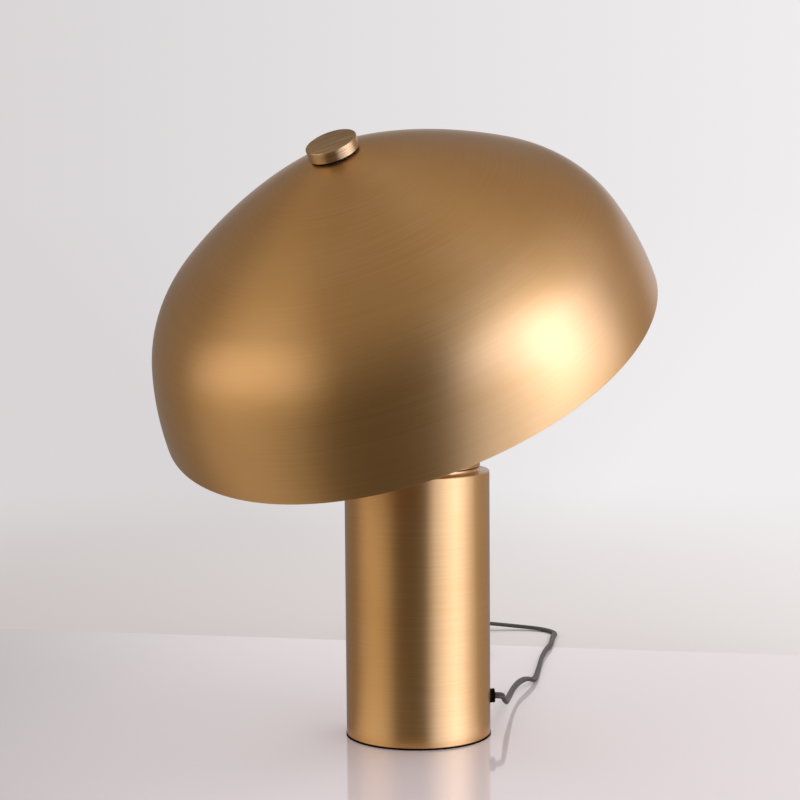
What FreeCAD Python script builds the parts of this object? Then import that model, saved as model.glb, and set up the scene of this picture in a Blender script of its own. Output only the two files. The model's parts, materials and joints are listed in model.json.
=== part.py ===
# A table lamp: a brass cylinder base, a head that turns on it, and a dome shade on a tilt joint.
# Millimetres, +Z up. The origin is on the table, under the middle of the base.
# The shade tips towards -Y about an axis along X. The lead leaves the base between +X and +Y.
import FreeCAD, Part
import math
import os

X_AXIS = FreeCAD.Vector(1, 0, 0)
Y_AXIS = FreeCAD.Vector(0, 1, 0)
Z_AXIS = FreeCAD.Vector(0, 0, 1)
ORIGIN = FreeCAD.Vector(0, 0, 0)

# Clearances and the overrun of every cut
RUNNING_FIT = 0.05
SLIP_FIT = 0.3
SEAT_GAP = 0.2
OVERRUN = 1.0

# A turn or a slack smaller than this, as a share of a unit length, counts as none
LEAST_TURN_SHARE = 1e-7

# Threads and hexagon nuts
LAMP_THREAD_R = 5.0
LAMP_BORE_R = 3.5
LAMP_NUT_FLATS = 14.0
LAMP_NUT_T = 4.0
WIRE_R = 1.0
INNER_LEAD_R = 1.5

# Base cylinder
BASE_R = 50.0
SHELL_H = 183.1
SHELL_WALL = 1.5
SHELL_TOP_T = 2.5
SHELL_EDGE_R = 0.8
PAD_T = 1.3
PAD_OVERHANG = 0.3
PLATE_T = 2.5
LUG_COUNT = 3
LUG_W = 12.0
LUG_DEPTH = 9.0
LUG_H = 10.0
BASE_SCREW_R = 2.0
BASE_SCREW_HEAD_R = 4.0
BASE_SCREW_HEAD_H = 2.0
BASE_SCREW_L = 10.0

# Counterweight, with a pocket for the terminals and a slot for the lead
WEIGHT_GAP = 0.5
WEIGHT_H = 45.0
POCKET_R = 17.0
SLOT_W = 22.0
WEIGHT_SCREW_R = 2.5
WEIGHT_SCREW_HEAD_R = 4.6
WEIGHT_SCREW_L = 14.0
WEIGHT_SCREW_PITCH_R = 27.0

# Lead and its bush in the side of the base
LEAD_R = 2.2
GLAND_Z = 24.5
GLAND_ANGLE = 45.0
GLAND_FLANGE_R = 4.95
GLAND_FLANGE_T = 1.4
GLAND_GROOVE_R = 4.1
GLAND_GROOVE_T = 0.7
GLAND_NOSE_T = 0.3
GLAND_NOSE_R = 3.6
GLAND_NECK_R = 3.9
GLAND_INNER_L = 5.5
GLAND_NUT_R = 6.5
GLAND_NUT_T = 3.0

# Strain relief arch and terminal block
CLAMP_L = 19.0
CLAMP_W = 8.0
CLAMP_TOP_T = 3.0
CLAMP_INSET = 8.0
CLAMP_SCREW_R = 1.5
CLAMP_SCREW_HEAD_R = 2.6
CLAMP_SCREW_HEAD_H = 1.8
CLAMP_SCREW_L = 9.0
CLAMP_SCREW_PITCH = 13.0
TERMINAL_L = 20.0
TERMINAL_W = 16.0
TERMINAL_H = 12.0
TERMINAL_SCREW_R = 1.6
TERMINAL_SCREW_DEPTH = 6.0
TERMINAL_SCREW_SPAN_L = 10.0
TERMINAL_SCREW_SPAN_W = 8.0
LEAD_BEND = 4.0
LEAD_RISE = 35.0
LEAD_RETURN = 35.0

# Swivel between the base and the head: a low step on the cylinder, a thin gap and a plate
SHELL_STEP_R = 43.5
SHELL_STEP_H = 2.8
SHELL_STEP_EDGE_R = 0.3
NECK_GAP = 0.8
BEARING_OUTER_R = 17.0
NIPPLE_COLLAR_R = 8.0
NIPPLE_TAIL = 3.0
SWIVEL_PLATE_R = SHELL_STEP_R
SWIVEL_PLATE_T = 4.7
SWIVEL_EDGE_R = 0.6
FRICTION_WASHER_R = 8.5
FRICTION_WASHER_T = 1.0
NIPPLE_HEAD = 1.0

# Stem on the turning plate
STEM_R = 11.0
STEM_WALL = 2.0
STEM_L = 36.0
STEM_FLANGE_R = 20.0
STEM_FLANGE_T = 3.0
STEM_SCREW_COUNT = 3
STEM_SCREW_R = 1.5
STEM_SCREW_HEAD_R = 2.75
STEM_SCREW_HEAD_H = 2.4
STEM_SCREW_L = 7.0

# Tilt joint: a slotted cup below, a flat tongue above
FORK_R = 14.0
FORK_FLAT = 11.0
FORK_ABOVE = 9.0
FORK_BELOW = 20.9
FORK_FLAT_BELOW = 9.0
FORK_SPIGOT_L = 8.0
FORK_EDGE_R = 1.2
EYE_R = 10.0
TONGUE_T = 7.0
SHANK_W = 12.0
TILT_STOP = 35.0
REST_TILT = 29.5
KNUCKLE_WASHER_T = 0.6
KNUCKLE_WASHER_R = 9.5
PIVOT_BOLT_R = 3.0
PIVOT_HEAD_R = 6.0
PIVOT_HEAD_T = 4.0
PIVOT_NUT_FLATS = 10.0
PIVOT_NUT_T = 5.0
PIVOT_TAIL = 1.0
COLLAR_START = 17.5
COLLAR_L = 10.0
COLLAR_R = 9.0
COLLAR_FLOOR = 2.0

# Bridge and lampholders
BRIDGE_RISE = 34.0
BRIDGE_T = 3.0
BRIDGE_W = 20.0
HOLDER_OFFSET = 38.0
NIPPLE_FLANGE_R = 7.0
NIPPLE_FLANGE_T = 2.0
NIPPLE_SHANK_L = 7.0
HOLDER_R = 17.0
HOLDER_WALL = 1.8
HOLDER_CAP_H = 18.0
HOLDER_FLOOR_T = 3.0
HOLDER_SHELL_H = 24.0
HOLDER_SHELL_BORE_R = 13.8
HOLDER_SPIGOT_L = 6.0
HOLDER_EDGE_R = 0.8
INSERT_T = 8.8
INSERT_RECESS_H = 2.5
WIRE_RISE = 9.5
BULB_CAP_R = 13.2
BULB_CAP_H = 26.0
BULB_CAP_TIP_R = 5.0
BULB_CAP_TIP_H = 4.0
BULB_CAP_WALL = 1.0
BULB_NECK_R = 12.6
BULB_NECK_L = 6.0
BULB_GLOBE_R = 22.5
BULB_GLASS_T = 1.0

# Shade: a shallow dome, a rounded shoulder and a nearly upright skirt, all tangent arcs
SHADE_RIM_R = 175.4
SHADE_WALL = 1.0
SHADE_RIM_RISE = 19.4
SKIRT_ARC_R = 197.0
SHOULDER_ARC_R = 89.0
DOME_ARC_R = 390.0
RIM_SLOPE_ANGLE = 87.2
SKIRT_SLOPE_ANGLE = 71.9
SHOULDER_SLOPE_ANGLE = 35.7
CROWN_SEAT_R = 14.0

# Crown fixing
SEAT_WASHER_R = 13.0
SEAT_WASHER_T = 1.5
SEAT_NUT_T = 5.0
CROWN_WASHER_R = 16.4
CROWN_WASHER_T = 1.3
KNOB_R = 17.3
KNOB_T = 7.4
KNOB_EDGE_R = 0.9
KNOB_THREAD_L = 5.0

# Heights that follow from the sizes
SHELL_Z = PAD_T
BASE_TOP = SHELL_Z + SHELL_H
STEP_TOP = BASE_TOP + SHELL_STEP_H
PLATE_TOP = SHELL_Z + PLATE_T
SHELL_BORE_R = BASE_R - SHELL_WALL
WEIGHT_R = SHELL_BORE_R - LUG_DEPTH - WEIGHT_GAP
WEIGHT_TOP = PLATE_TOP + WEIGHT_H
POCKET_FLOOR = GLAND_Z - LEAD_R
CLAMP_PLACE_R = WEIGHT_R - CLAMP_INSET
SWIVEL_Z = STEP_TOP + NECK_GAP
STEM_Z = SWIVEL_Z + SWIVEL_PLATE_T
NIPPLE_TOP = STEM_Z + FRICTION_WASHER_T + LAMP_NUT_T + NIPPLE_HEAD
FORK_Z = STEM_Z + STEM_L
PIVOT_Z = FORK_Z + FORK_BELOW
PIVOT = FreeCAD.Vector(0, 0, PIVOT_Z)
SLOT_HALF = TONGUE_T / 2 + KNUCKLE_WASHER_T + 2 * RUNNING_FIT
SLOT_FLOOR_R = EYE_R + SLIP_FIT
COLLAR_Z = PIVOT_Z + COLLAR_START
ROD_Z = COLLAR_Z + COLLAR_FLOOR
BRIDGE_Z = PIVOT_Z + BRIDGE_RISE
HOLDER_Z = BRIDGE_Z + BRIDGE_T
HOLDER_CAP_TOP = HOLDER_Z + HOLDER_CAP_H
HOLDER_TOP = HOLDER_CAP_TOP + HOLDER_SHELL_H
INSERT_Z = HOLDER_Z + HOLDER_FLOOR_T
WIRE_Z = HOLDER_Z + WIRE_RISE
BULB_Z = INSERT_Z + INSERT_T + SLIP_FIT
RIM_Z = PIVOT_Z + SHADE_RIM_RISE
GLAND_FACE_R = BASE_R + 2 * GLAND_FLANGE_T + GLAND_GROOVE_T + GLAND_NOSE_T

# In-line switch
SWITCH_L = 62.0
SWITCH_W = 26.0
SWITCH_LOWER_H = 9.0
SWITCH_UPPER_H = 9.0
SWITCH_WALL = 1.8
SWITCH_CORNER_R = 8.0
SWITCH_EDGE_R = 1.6
SWITCH_LEAD_Z = 8.0
ROCKER_L = 20.0
ROCKER_W = 10.0
ROCKER_PROUD = 2.2
ROCKER_PIVOT_DEPTH = 3.4
ROCKER_UNDER = 2.4
ROCKER_GAP = 0.4
ROCKER_SWING = 7.0
ROCKER_PIN_R = 1.2
ROCKER_EAR_T = 2.0
ROCKER_EAR_L = 6.0
CONTACTS_L = 26.0
CONTACTS_W = 14.0
CONTACTS_H = 3.0
SWITCH_SCREW_R = 1.2
SWITCH_SCREW_HEAD_R = 2.3
SWITCH_SCREW_HEAD_H = 1.4
SWITCH_SCREW_L = 12.0
SWITCH_SCREW_INSET = 7.0
SWITCH_POST_R = 3.2
SWITCH_PLACE = (-213.6, 286.0)
SWITCH_ANGLE = 37.4

# Two-pin flat plug
PLUG_L = 35.0
PLUG_W = 26.0
PLUG_T = 13.8
PLUG_TAIL_W = 12.0
PLUG_SHOULDER_L = 13.0
PLUG_EDGE_R = 3.0
PIN_R = 2.0
PIN_L = 19.0
PIN_SPACING = 18.6
PIN_ROOT = 6.0
PLUG_PLACE = (-127.6, 226.6)
PLUG_ANGLE = 127.4

# Coil of the length that is put away: two layers, wound in and out again
COIL_CENTRE = (-106.2, 138.9)
COIL_START_ANGLE = 217.4
COIL_OUTER_R = 33.3
COIL_PITCH = 4.95
COIL_LAYER_RISE = 4.95
COIL_TURNS = 6.5
COIL_CLIMB_TURNS = 0.5
COIL_STEPS_PER_TURN = 4

# The lead's free route, chosen by hand between its straight ends: from the bush to the switch
LEAD_START_RUN = 3.9
LEAD_END_RUN = 7.0
ARC_TRIM_SHARE = 0.45
LEAD_ROUTE = [
    (40.8, 44.5, 22.9),
    (37.7, 50.2, 19.2),
    (31.8, 60.2, 14.2),
    (14.1, 89.8, 10.8),
    (-3.2, 119.9, 9.0),
    (-15.8, 145.7, 7.6),
    (-20.7, 163.2, 6.4),
    (-22.4, 176.6, 2.2),
    (-45.3, 215.6, 2.2),
    (-65.5, 249.1, 2.2),
    (-80.0, 277.4, 2.2),
    (-86.8, 294.8, 2.2),
    (-105.8, 325.5, 2.2),
    (-112.3, 339.6, 2.2),
    (-130.0, 346.2, 2.6),
    (-150.3, 338.2, 3.6),
    (-168.5, 322.5, 6.0),
]
# From the switch to the coil
MID_ROUTE = [
    (-251.6, 253.3, 5.5),
    (-252.0, 239.1, 2.6),
    (-241.3, 223.4, 2.2),
    (-219.1, 202.6, 2.2),
    (-193.3, 182.0, 2.2),
    (-167.5, 159.0, 2.2),
    (-148.5, 138.2, 2.2),
]
# From the coil to the plug
TAIL_ROUTE = [
    (-92.8, 178.3, 5.2),
    (-102.6, 193.4, 4.6),
]


def vec(x, y, z):
    return FreeCAD.Vector(x, y, z)


def disc(radius, bottom, top, x=0, y=0):
    return Part.makeCylinder(radius, top - bottom, vec(x, y, bottom))


def ring(outer, inner, bottom, top, x=0, y=0):
    return disc(outer, bottom, top, x, y).cut(disc(inner, bottom - OVERRUN, top + OVERRUN, x, y))


def cross_disc(radius, start, end, z=PIVOT_Z):
    return Part.makeCylinder(radius, end - start, vec(start, 0, z), X_AXIS)


def block(x_span, y_span, z_span):
    return Part.makeBox(
        x_span[1] - x_span[0], y_span[1] - y_span[0], z_span[1] - z_span[0],
        vec(x_span[0], y_span[0], z_span[0]))


def centred_block(length, width, z_span, x=0, y=0):
    return block((x - length / 2, x + length / 2), (y - width / 2, y + width / 2), z_span)


def hexagon(flats, bottom, top, x=0, y=0):
    corner_r = flats / 2 / math.cos(math.pi / 6)
    corners = [
        vec(x + corner_r * math.cos(k * math.pi / 3), y + corner_r * math.sin(k * math.pi / 3), bottom)
        for k in range(6)]
    face = Part.Face(Part.makePolygon(corners + corners[:1]))
    return face.extrude(vec(0, 0, top - bottom))


def turned(shape, angle, axis=Z_AXIS, about=ORIGIN):
    copy = shape.copy()
    copy.rotate(about, axis, angle)
    return copy


def moved(shape, x, y, z):
    copy = shape.copy()
    copy.translate(vec(x, y, z))
    return copy


def spun(points):
    """A solid of revolution about Z from (radius, height) points."""
    outline = Part.makePolygon([vec(r, 0, z) for r, z in points + points[:1]])
    return Part.Face(outline).revolve(ORIGIN, Z_AXIS, 360)


def eased(shape, radius, wanted):
    """Rounds the edges that the test picks out."""
    return shape.makeFillet(radius, [edge for edge in shape.Edges if wanted(edge)])


def circle_at(z, radius):
    """A test for round edges of one radius at one height."""
    def wanted(edge):
        curve = edge.Curve
        if not isinstance(curve, Part.Circle):
            return False
        return abs(curve.Center.z - z) < RUNNING_FIT and abs(curve.Radius - radius) < RUNNING_FIT
    return wanted


def around(count, radius, first=0.0):
    """Places on a circle, evenly spaced from a first angle in degrees."""
    for k in range(count):
        angle = math.radians(first + 360 * k / count)
        yield radius * math.cos(angle), radius * math.sin(angle)


def countersunk_screw(radius, head_r, head_h, length, x, y, bottom, ease=0.0):
    """A countersunk screw with its head down, or the hole for it when ease is given."""
    head = Part.makeCone(head_r + ease, radius + ease, head_h, vec(x, y, bottom))
    return head.fuse(disc(radius + ease, bottom, bottom + length + ease, x, y))


def cap_screw(radius, head_r, head_h, length, x, y, seat):
    """A screw with a round head that sits on a seat and points down."""
    head = disc(head_r, seat, seat + head_h, x, y)
    return head.fuse(disc(radius, seat - length, seat, x, y))


def arc_edge(start, tangent, end):
    """The arc that leaves a point along a tangent and ends at another point."""
    chord = end - start
    along = FreeCAD.Vector(chord).normalize()
    side = tangent - along * tangent.dot(along)
    if side.Length < LEAST_TURN_SHARE:
        return Part.LineSegment(start, end).toShape()
    half_turn = math.acos(max(-1.0, min(1.0, tangent.dot(along) / tangent.Length)))
    side.normalize()
    middle = (start + end) * 0.5 + side * (chord.Length / 2 * math.tan(half_turn / 2))
    return Part.Arc(start, middle, end).toShape()


def biarc_edges(start, start_way, end, end_way):
    """Two tangent arcs that join two points with given directions."""
    chord = end - start
    total_way = start_way + end_way
    slack = 2 * (1 - start_way.dot(end_way))
    reach = chord.dot(total_way)
    if slack < LEAST_TURN_SHARE ** 2:
        arm = chord.dot(chord) / (4 * chord.dot(end_way))
    else:
        arm = (math.sqrt(reach * reach + slack * chord.dot(chord)) - reach) / slack
    joint = (start + end + (start_way - end_way) * arm) * 0.5
    joint_way = (joint - start) * (1 / arm) - start_way
    joint_way.normalize()
    return [arc_edge(start, start_way, joint), arc_edge(joint, joint_way, end)]


def rounded_route(route, name):
    """Straight runs joined by tangent arcs, each as large as its two runs allow."""
    edges = []
    radii = []
    at = route[0]
    for before, corner, after in zip(route, route[1:], route[2:]):
        way_in = (corner - before).normalize()
        way_out = (after - corner).normalize()
        turn = way_in.getAngle(way_out)
        shorter = min((corner - before).Length, (after - corner).Length)
        trim = ARC_TRIM_SHARE * shorter
        arc_start = corner - way_in * trim
        arc_end = corner + way_out * trim
        radii.append(round(trim / math.tan(turn / 2), 1))
        edges.append(Part.LineSegment(at, arc_start).toShape())
        edges.append(arc_edge(arc_start, way_in, arc_end))
        at = arc_end
    edges.append(Part.LineSegment(at, route[-1]).toShape())
    print(name, "arc radii", radii)
    return Part.Wire(edges)


def tube(path, radius, name):
    """A round solid along a wire, with its volume set against its section times its length."""
    first = path.Edges[0]
    start = first.valueAt(first.FirstParameter)
    way = first.tangentAt(first.FirstParameter)
    section = Part.Wire(Part.makeCircle(radius, start, way))
    sweep = Part.BRepOffsetAPI.MakePipeShell(path)
    sweep.add(section)
    sweep.build()
    sweep.makeSolid()
    solid = sweep.shape()
    ratio = solid.Volume / (math.pi * radius ** 2 * path.Length)
    print(name, "length", round(path.Length, 1), "volume ratio", round(ratio, 4), solid.isValid())
    return solid


# Base

def make_foot_pad():
    return disc(BASE_R + PAD_OVERHANG, 0, PAD_T)


def lug_places():
    return around(LUG_COUNT, SHELL_BORE_R - LUG_DEPTH / 2, GLAND_ANGLE + 180 / LUG_COUNT)


def weight_screw_places():
    return around(LUG_COUNT, WEIGHT_SCREW_PITCH_R, GLAND_ANGLE + 180 / LUG_COUNT)


def bottom_screw(x, y, ease=0.0):
    return countersunk_screw(
        BASE_SCREW_R, BASE_SCREW_HEAD_R, BASE_SCREW_HEAD_H, BASE_SCREW_L, x, y, SHELL_Z, ease)


def weight_screw(x, y, ease=0.0):
    return countersunk_screw(
        WEIGHT_SCREW_R, WEIGHT_SCREW_HEAD_R, BASE_SCREW_HEAD_H, WEIGHT_SCREW_L, x, y, SHELL_Z, ease)


def make_bottom_plate():
    plate = disc(SHELL_BORE_R - SLIP_FIT, SHELL_Z, PLATE_TOP)
    for x, y in lug_places():
        plate = plate.cut(bottom_screw(x, y, RUNNING_FIT))
    for x, y in weight_screw_places():
        plate = plate.cut(weight_screw(x, y, RUNNING_FIT))
    return plate


def make_bottom_screws():
    return Part.makeCompound([bottom_screw(x, y) for x, y in lug_places()])


def make_weight_screws():
    return Part.makeCompound([weight_screw(x, y) for x, y in weight_screw_places()])


def make_base_shell():
    outside = disc(BASE_R, SHELL_Z, BASE_TOP)
    outside = eased(outside, SHELL_EDGE_R, circle_at(BASE_TOP, BASE_R))
    step = disc(SHELL_STEP_R, BASE_TOP - SHELL_STEP_H, STEP_TOP)
    step = eased(step, SHELL_STEP_EDGE_R, circle_at(STEP_TOP, SHELL_STEP_R))
    shell = outside.fuse(step)
    shell = shell.cut(disc(SHELL_BORE_R, SHELL_Z - OVERRUN, BASE_TOP - SHELL_TOP_T))
    lug = block(
        (SHELL_BORE_R - LUG_DEPTH, SHELL_BORE_R + SHELL_WALL / 2),
        (-LUG_W / 2, LUG_W / 2),
        (PLATE_TOP, PLATE_TOP + LUG_H))
    for k in range(LUG_COUNT):
        shell = shell.fuse(turned(lug, GLAND_ANGLE + 180 / LUG_COUNT + 360 * k / LUG_COUNT))
    for x, y in lug_places():
        shell = shell.cut(bottom_screw(x, y, RUNNING_FIT))
    ceiling = BASE_TOP - SHELL_TOP_T
    shell = shell.cut(disc(LAMP_THREAD_R + RUNNING_FIT, ceiling - OVERRUN, STEP_TOP + OVERRUN))
    gland_hole = cross_disc(GLAND_NECK_R + RUNNING_FIT, WEIGHT_R, BASE_R + OVERRUN, GLAND_Z)
    return shell.cut(turned(gland_hole, GLAND_ANGLE)).removeSplitter()


def make_counterweight():
    weight = disc(WEIGHT_R, PLATE_TOP, WEIGHT_TOP)
    open_span = (POCKET_FLOOR, WEIGHT_TOP + OVERRUN)
    weight = weight.cut(disc(POCKET_R, *open_span))
    slot = block((0, WEIGHT_R + OVERRUN), (-SLOT_W / 2, SLOT_W / 2), open_span)
    weight = weight.cut(turned(slot, GLAND_ANGLE))
    for x, y in weight_screw_places():
        weight = weight.cut(weight_screw(x, y, RUNNING_FIT))
    for screw in clamp_screw_bodies(RUNNING_FIT):
        weight = weight.cut(screw)
    return weight


def make_cord_gland():
    """Black bush: two flanges with a groove between them, and a neck through the wall."""
    face = BASE_R
    first = face + GLAND_FLANGE_T
    second = first + GLAND_GROOVE_T
    third = second + GLAND_FLANGE_T
    inner = SHELL_BORE_R - GLAND_INNER_L
    points = [
        (LEAD_R, inner), (GLAND_NECK_R, inner), (GLAND_NECK_R, face),
        (GLAND_FLANGE_R, face), (GLAND_FLANGE_R, first), (GLAND_GROOVE_R, first),
        (GLAND_GROOVE_R, second), (GLAND_FLANGE_R, second), (GLAND_FLANGE_R, third),
        (GLAND_NOSE_R, GLAND_FACE_R), (LEAD_R, GLAND_FACE_R)]
    return radial(spun(points))


def radial(shape):
    """Lays a piece that was spun about Z along the bush's line."""
    laid = turned(shape, 90, Y_AXIS)
    return turned(moved(laid, 0, 0, GLAND_Z), GLAND_ANGLE)


def make_gland_nut():
    """A ring nut whose flat face clears the curve of the shell's bore."""
    outer = math.sqrt(SHELL_BORE_R ** 2 - GLAND_NUT_R ** 2) - SEAT_GAP
    return radial(ring(GLAND_NUT_R, GLAND_NECK_R + RUNNING_FIT, outer - GLAND_NUT_T, outer))


def make_inner_flex():
    """The lead inside the bush and the base, up to the terminal block."""
    return radial(disc(LEAD_R - RUNNING_FIT, TERMINAL_L / 2, GLAND_FACE_R))


def clamp_screw_bodies(ease=0.0):
    seat = GLAND_Z + LEAD_R + CLAMP_TOP_T
    for side in (-1, 1):
        shank = disc(
            CLAMP_SCREW_R + ease, seat - CLAMP_SCREW_L - ease, seat, CLAMP_PLACE_R,
            side * CLAMP_SCREW_PITCH / 2)
        yield turned(shank, GLAND_ANGLE)


def make_lead_clamp():
    seat = GLAND_Z + LEAD_R + CLAMP_TOP_T
    arch = centred_block(CLAMP_W, CLAMP_L, (POCKET_FLOOR, seat), CLAMP_PLACE_R)
    arch = arch.cut(cross_disc(LEAD_R, 0, BASE_R, GLAND_Z))
    arch = arch.cut(block((0, BASE_R), (-LEAD_R, LEAD_R), (POCKET_FLOOR - OVERRUN, GLAND_Z)))
    arch = turned(arch, GLAND_ANGLE)
    for screw in clamp_screw_bodies(RUNNING_FIT):
        arch = arch.cut(screw)
    return arch


def make_clamp_screws():
    seat = GLAND_Z + LEAD_R + CLAMP_TOP_T
    screws = []
    for side in (-1, 1):
        screw = cap_screw(
            CLAMP_SCREW_R, CLAMP_SCREW_HEAD_R, CLAMP_SCREW_HEAD_H, CLAMP_SCREW_L, CLAMP_PLACE_R,
            side * CLAMP_SCREW_PITCH / 2, seat)
        screws.append(turned(screw, GLAND_ANGLE))
    return Part.makeCompound(screws)


def make_terminal_block():
    top = POCKET_FLOOR + TERMINAL_H
    body = centred_block(TERMINAL_L, TERMINAL_W, (POCKET_FLOOR, top))
    for x in (-TERMINAL_SCREW_SPAN_L / 2, TERMINAL_SCREW_SPAN_L / 2):
        for y in (-TERMINAL_SCREW_SPAN_W / 2, TERMINAL_SCREW_SPAN_W / 2):
            body = body.cut(disc(TERMINAL_SCREW_R, top - TERMINAL_SCREW_DEPTH, top + OVERRUN, x, y))
    return turned(body, GLAND_ANGLE)


def make_base_lead():
    """Inner wiring: out of the terminal block, up the pocket and on the axis through the swivel."""
    side = TERMINAL_L / 2 + LEAD_BEND
    low = GLAND_Z + LEAD_RISE
    high = low + LEAD_RETURN
    places = [(-TERMINAL_L / 2, GLAND_Z), (-side, GLAND_Z), (-side, low), (0, high), (0, NIPPLE_TOP)]
    points = [vec(x, 0, z) for x, z in places]
    return turned(tube(rounded_route(points, "base_lead"), INNER_LEAD_R, "base_lead"), GLAND_ANGLE)


# Swivel

def make_swivel_nipple():
    bottom = BASE_TOP - SHELL_TOP_T - LAMP_NUT_T - NIPPLE_TAIL
    nipple = disc(LAMP_THREAD_R, bottom, NIPPLE_TOP)
    nipple = nipple.fuse(disc(NIPPLE_COLLAR_R, STEP_TOP, SWIVEL_Z - SEAT_GAP))
    return nipple.cut(disc(LAMP_BORE_R, bottom - OVERRUN, NIPPLE_TOP + OVERRUN))


def lamp_nut(bottom, thickness):
    nut = hexagon(LAMP_NUT_FLATS, bottom, bottom + thickness)
    return nut.cut(disc(LAMP_THREAD_R + RUNNING_FIT, bottom - OVERRUN, bottom + thickness + OVERRUN))


def make_nipple_locknut():
    return lamp_nut(BASE_TOP - SHELL_TOP_T - LAMP_NUT_T, LAMP_NUT_T)


def make_bearing_washer():
    return ring(BEARING_OUTER_R, NIPPLE_COLLAR_R + SLIP_FIT, STEP_TOP, SWIVEL_Z)


def make_friction_washer():
    return ring(FRICTION_WASHER_R, LAMP_THREAD_R + RUNNING_FIT, STEM_Z, STEM_Z + FRICTION_WASHER_T)


def make_swivel_nut():
    return lamp_nut(STEM_Z + FRICTION_WASHER_T, LAMP_NUT_T)


def stem_screw_places():
    return around(STEM_SCREW_COUNT, (STEM_R + STEM_FLANGE_R) / 2, 90)


def make_swivel_plate():
    plate = disc(SWIVEL_PLATE_R, SWIVEL_Z, STEM_Z)
    plate = eased(plate, SWIVEL_EDGE_R, circle_at(STEM_Z, SWIVEL_PLATE_R))
    plate = plate.cut(disc(LAMP_THREAD_R + RUNNING_FIT, SWIVEL_Z - OVERRUN, STEM_Z + OVERRUN))
    for x, y in stem_screw_places():
        depth = STEM_SCREW_L - STEM_FLANGE_T + SEAT_GAP
        plate = plate.cut(disc(STEM_SCREW_R + RUNNING_FIT, STEM_Z - depth, STEM_Z + OVERRUN, x, y))
    return plate


# Head

def make_stem():
    flange_top = STEM_Z + STEM_FLANGE_T
    stem = disc(STEM_FLANGE_R, STEM_Z, flange_top).fuse(disc(STEM_R, STEM_Z, FORK_Z))
    stem = stem.cut(disc(STEM_R - STEM_WALL, STEM_Z - OVERRUN, FORK_Z + OVERRUN))
    for x, y in stem_screw_places():
        stem = stem.cut(disc(STEM_SCREW_R + RUNNING_FIT, STEM_Z - OVERRUN, flange_top + OVERRUN, x, y))
    return stem


def make_stem_screws():
    seat = STEM_Z + STEM_FLANGE_T
    screws = [
        cap_screw(STEM_SCREW_R, STEM_SCREW_HEAD_R, STEM_SCREW_HEAD_H, STEM_SCREW_L, x, y, seat)
        for x, y in stem_screw_places()]
    return Part.makeCompound(screws)


def knuckle_slot():
    """The space that the tongue sweeps: round its eye, and a wedge between its two stops."""
    stop = math.radians(TILT_STOP)
    half = SHANK_W / 2
    low = (half * math.cos(stop), -half * math.sin(stop))
    reach = FORK_R + FORK_ABOVE
    high = (low[0] + reach * math.sin(stop), low[1] + reach * math.cos(stop))
    corners = [(-low[0], low[1]), (-high[0], high[1]), (high[0], high[1]), (low[0], low[1])]
    outline = [vec(-SLOT_HALF, y, PIVOT_Z + z) for y, z in corners + corners[:1]]
    wedge = Part.Face(Part.makePolygon(outline)).extrude(vec(2 * SLOT_HALF, 0, 0))
    return wedge.fuse(cross_disc(SLOT_FLOOR_R, -SLOT_HALF, SLOT_HALF))


def make_knuckle_fork():
    top = PIVOT_Z + FORK_ABOVE
    body = disc(FORK_R, FORK_Z, top)
    body = eased(body, FORK_EDGE_R, lambda edge: isinstance(edge.Curve, Part.Circle))
    for side in (-1, 1):
        inner = side * FORK_FLAT
        outer = side * (FORK_R + OVERRUN)
        flat_span = (PIVOT_Z - FORK_FLAT_BELOW, top + OVERRUN)
        body = body.cut(block((min(inner, outer), max(inner, outer)), (-FORK_R, FORK_R), flat_span))
    spigot_r = STEM_R - STEM_WALL - RUNNING_FIT
    body = body.fuse(disc(spigot_r, FORK_Z - FORK_SPIGOT_L, FORK_Z + FORK_EDGE_R))
    body = body.cut(knuckle_slot())
    body = body.cut(disc(INNER_LEAD_R + SEAT_GAP, FORK_Z - FORK_SPIGOT_L - OVERRUN, PIVOT_Z))
    return body.cut(cross_disc(PIVOT_BOLT_R + RUNNING_FIT, -FORK_R, FORK_R))


def make_head_lead():
    return disc(INNER_LEAD_R, NIPPLE_TOP + SLIP_FIT, PIVOT_Z - SLOT_FLOOR_R - SLIP_FIT)


def make_pivot_bolt():
    end = -FORK_FLAT - PIVOT_NUT_T - PIVOT_TAIL
    bolt = cross_disc(PIVOT_BOLT_R, end, FORK_FLAT)
    return bolt.fuse(cross_disc(PIVOT_HEAD_R, FORK_FLAT, FORK_FLAT + PIVOT_HEAD_T))


def make_pivot_nut():
    nut = hexagon(PIVOT_NUT_FLATS, 0, PIVOT_NUT_T)
    nut = nut.cut(disc(PIVOT_BOLT_R + RUNNING_FIT, -OVERRUN, PIVOT_NUT_T + OVERRUN))
    return moved(turned(nut, -90, Y_AXIS), -FORK_FLAT, 0, PIVOT_Z)


def make_knuckle_washers():
    washers = []
    for side in (-1, 1):
        near = side * (TONGUE_T / 2 + RUNNING_FIT)
        far = near + side * KNUCKLE_WASHER_T
        washer = cross_disc(KNUCKLE_WASHER_R, min(near, far), max(near, far))
        washers.append(washer.cut(cross_disc(PIVOT_BOLT_R + RUNNING_FIT, -SLOT_HALF, SLOT_HALF)))
    return Part.makeCompound(washers)


# Tilting group, drawn upright over the pivot and tipped at the end

def make_knuckle_tongue():
    half = TONGUE_T / 2
    tongue = cross_disc(EYE_R, -half, half)
    tongue = tongue.fuse(centred_block(TONGUE_T, SHANK_W, (PIVOT_Z, COLLAR_Z + COLLAR_FLOOR / 2)))
    tongue = tongue.fuse(disc(COLLAR_R, COLLAR_Z, COLLAR_Z + COLLAR_L))
    tongue = tongue.cut(disc(LAMP_THREAD_R + RUNNING_FIT, ROD_Z, COLLAR_Z + COLLAR_L + OVERRUN))
    return tongue.cut(cross_disc(PIVOT_BOLT_R + RUNNING_FIT, -EYE_R, EYE_R))


def knob_bottom():
    return shade_curve()["seat_z"] + CROWN_WASHER_T


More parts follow.
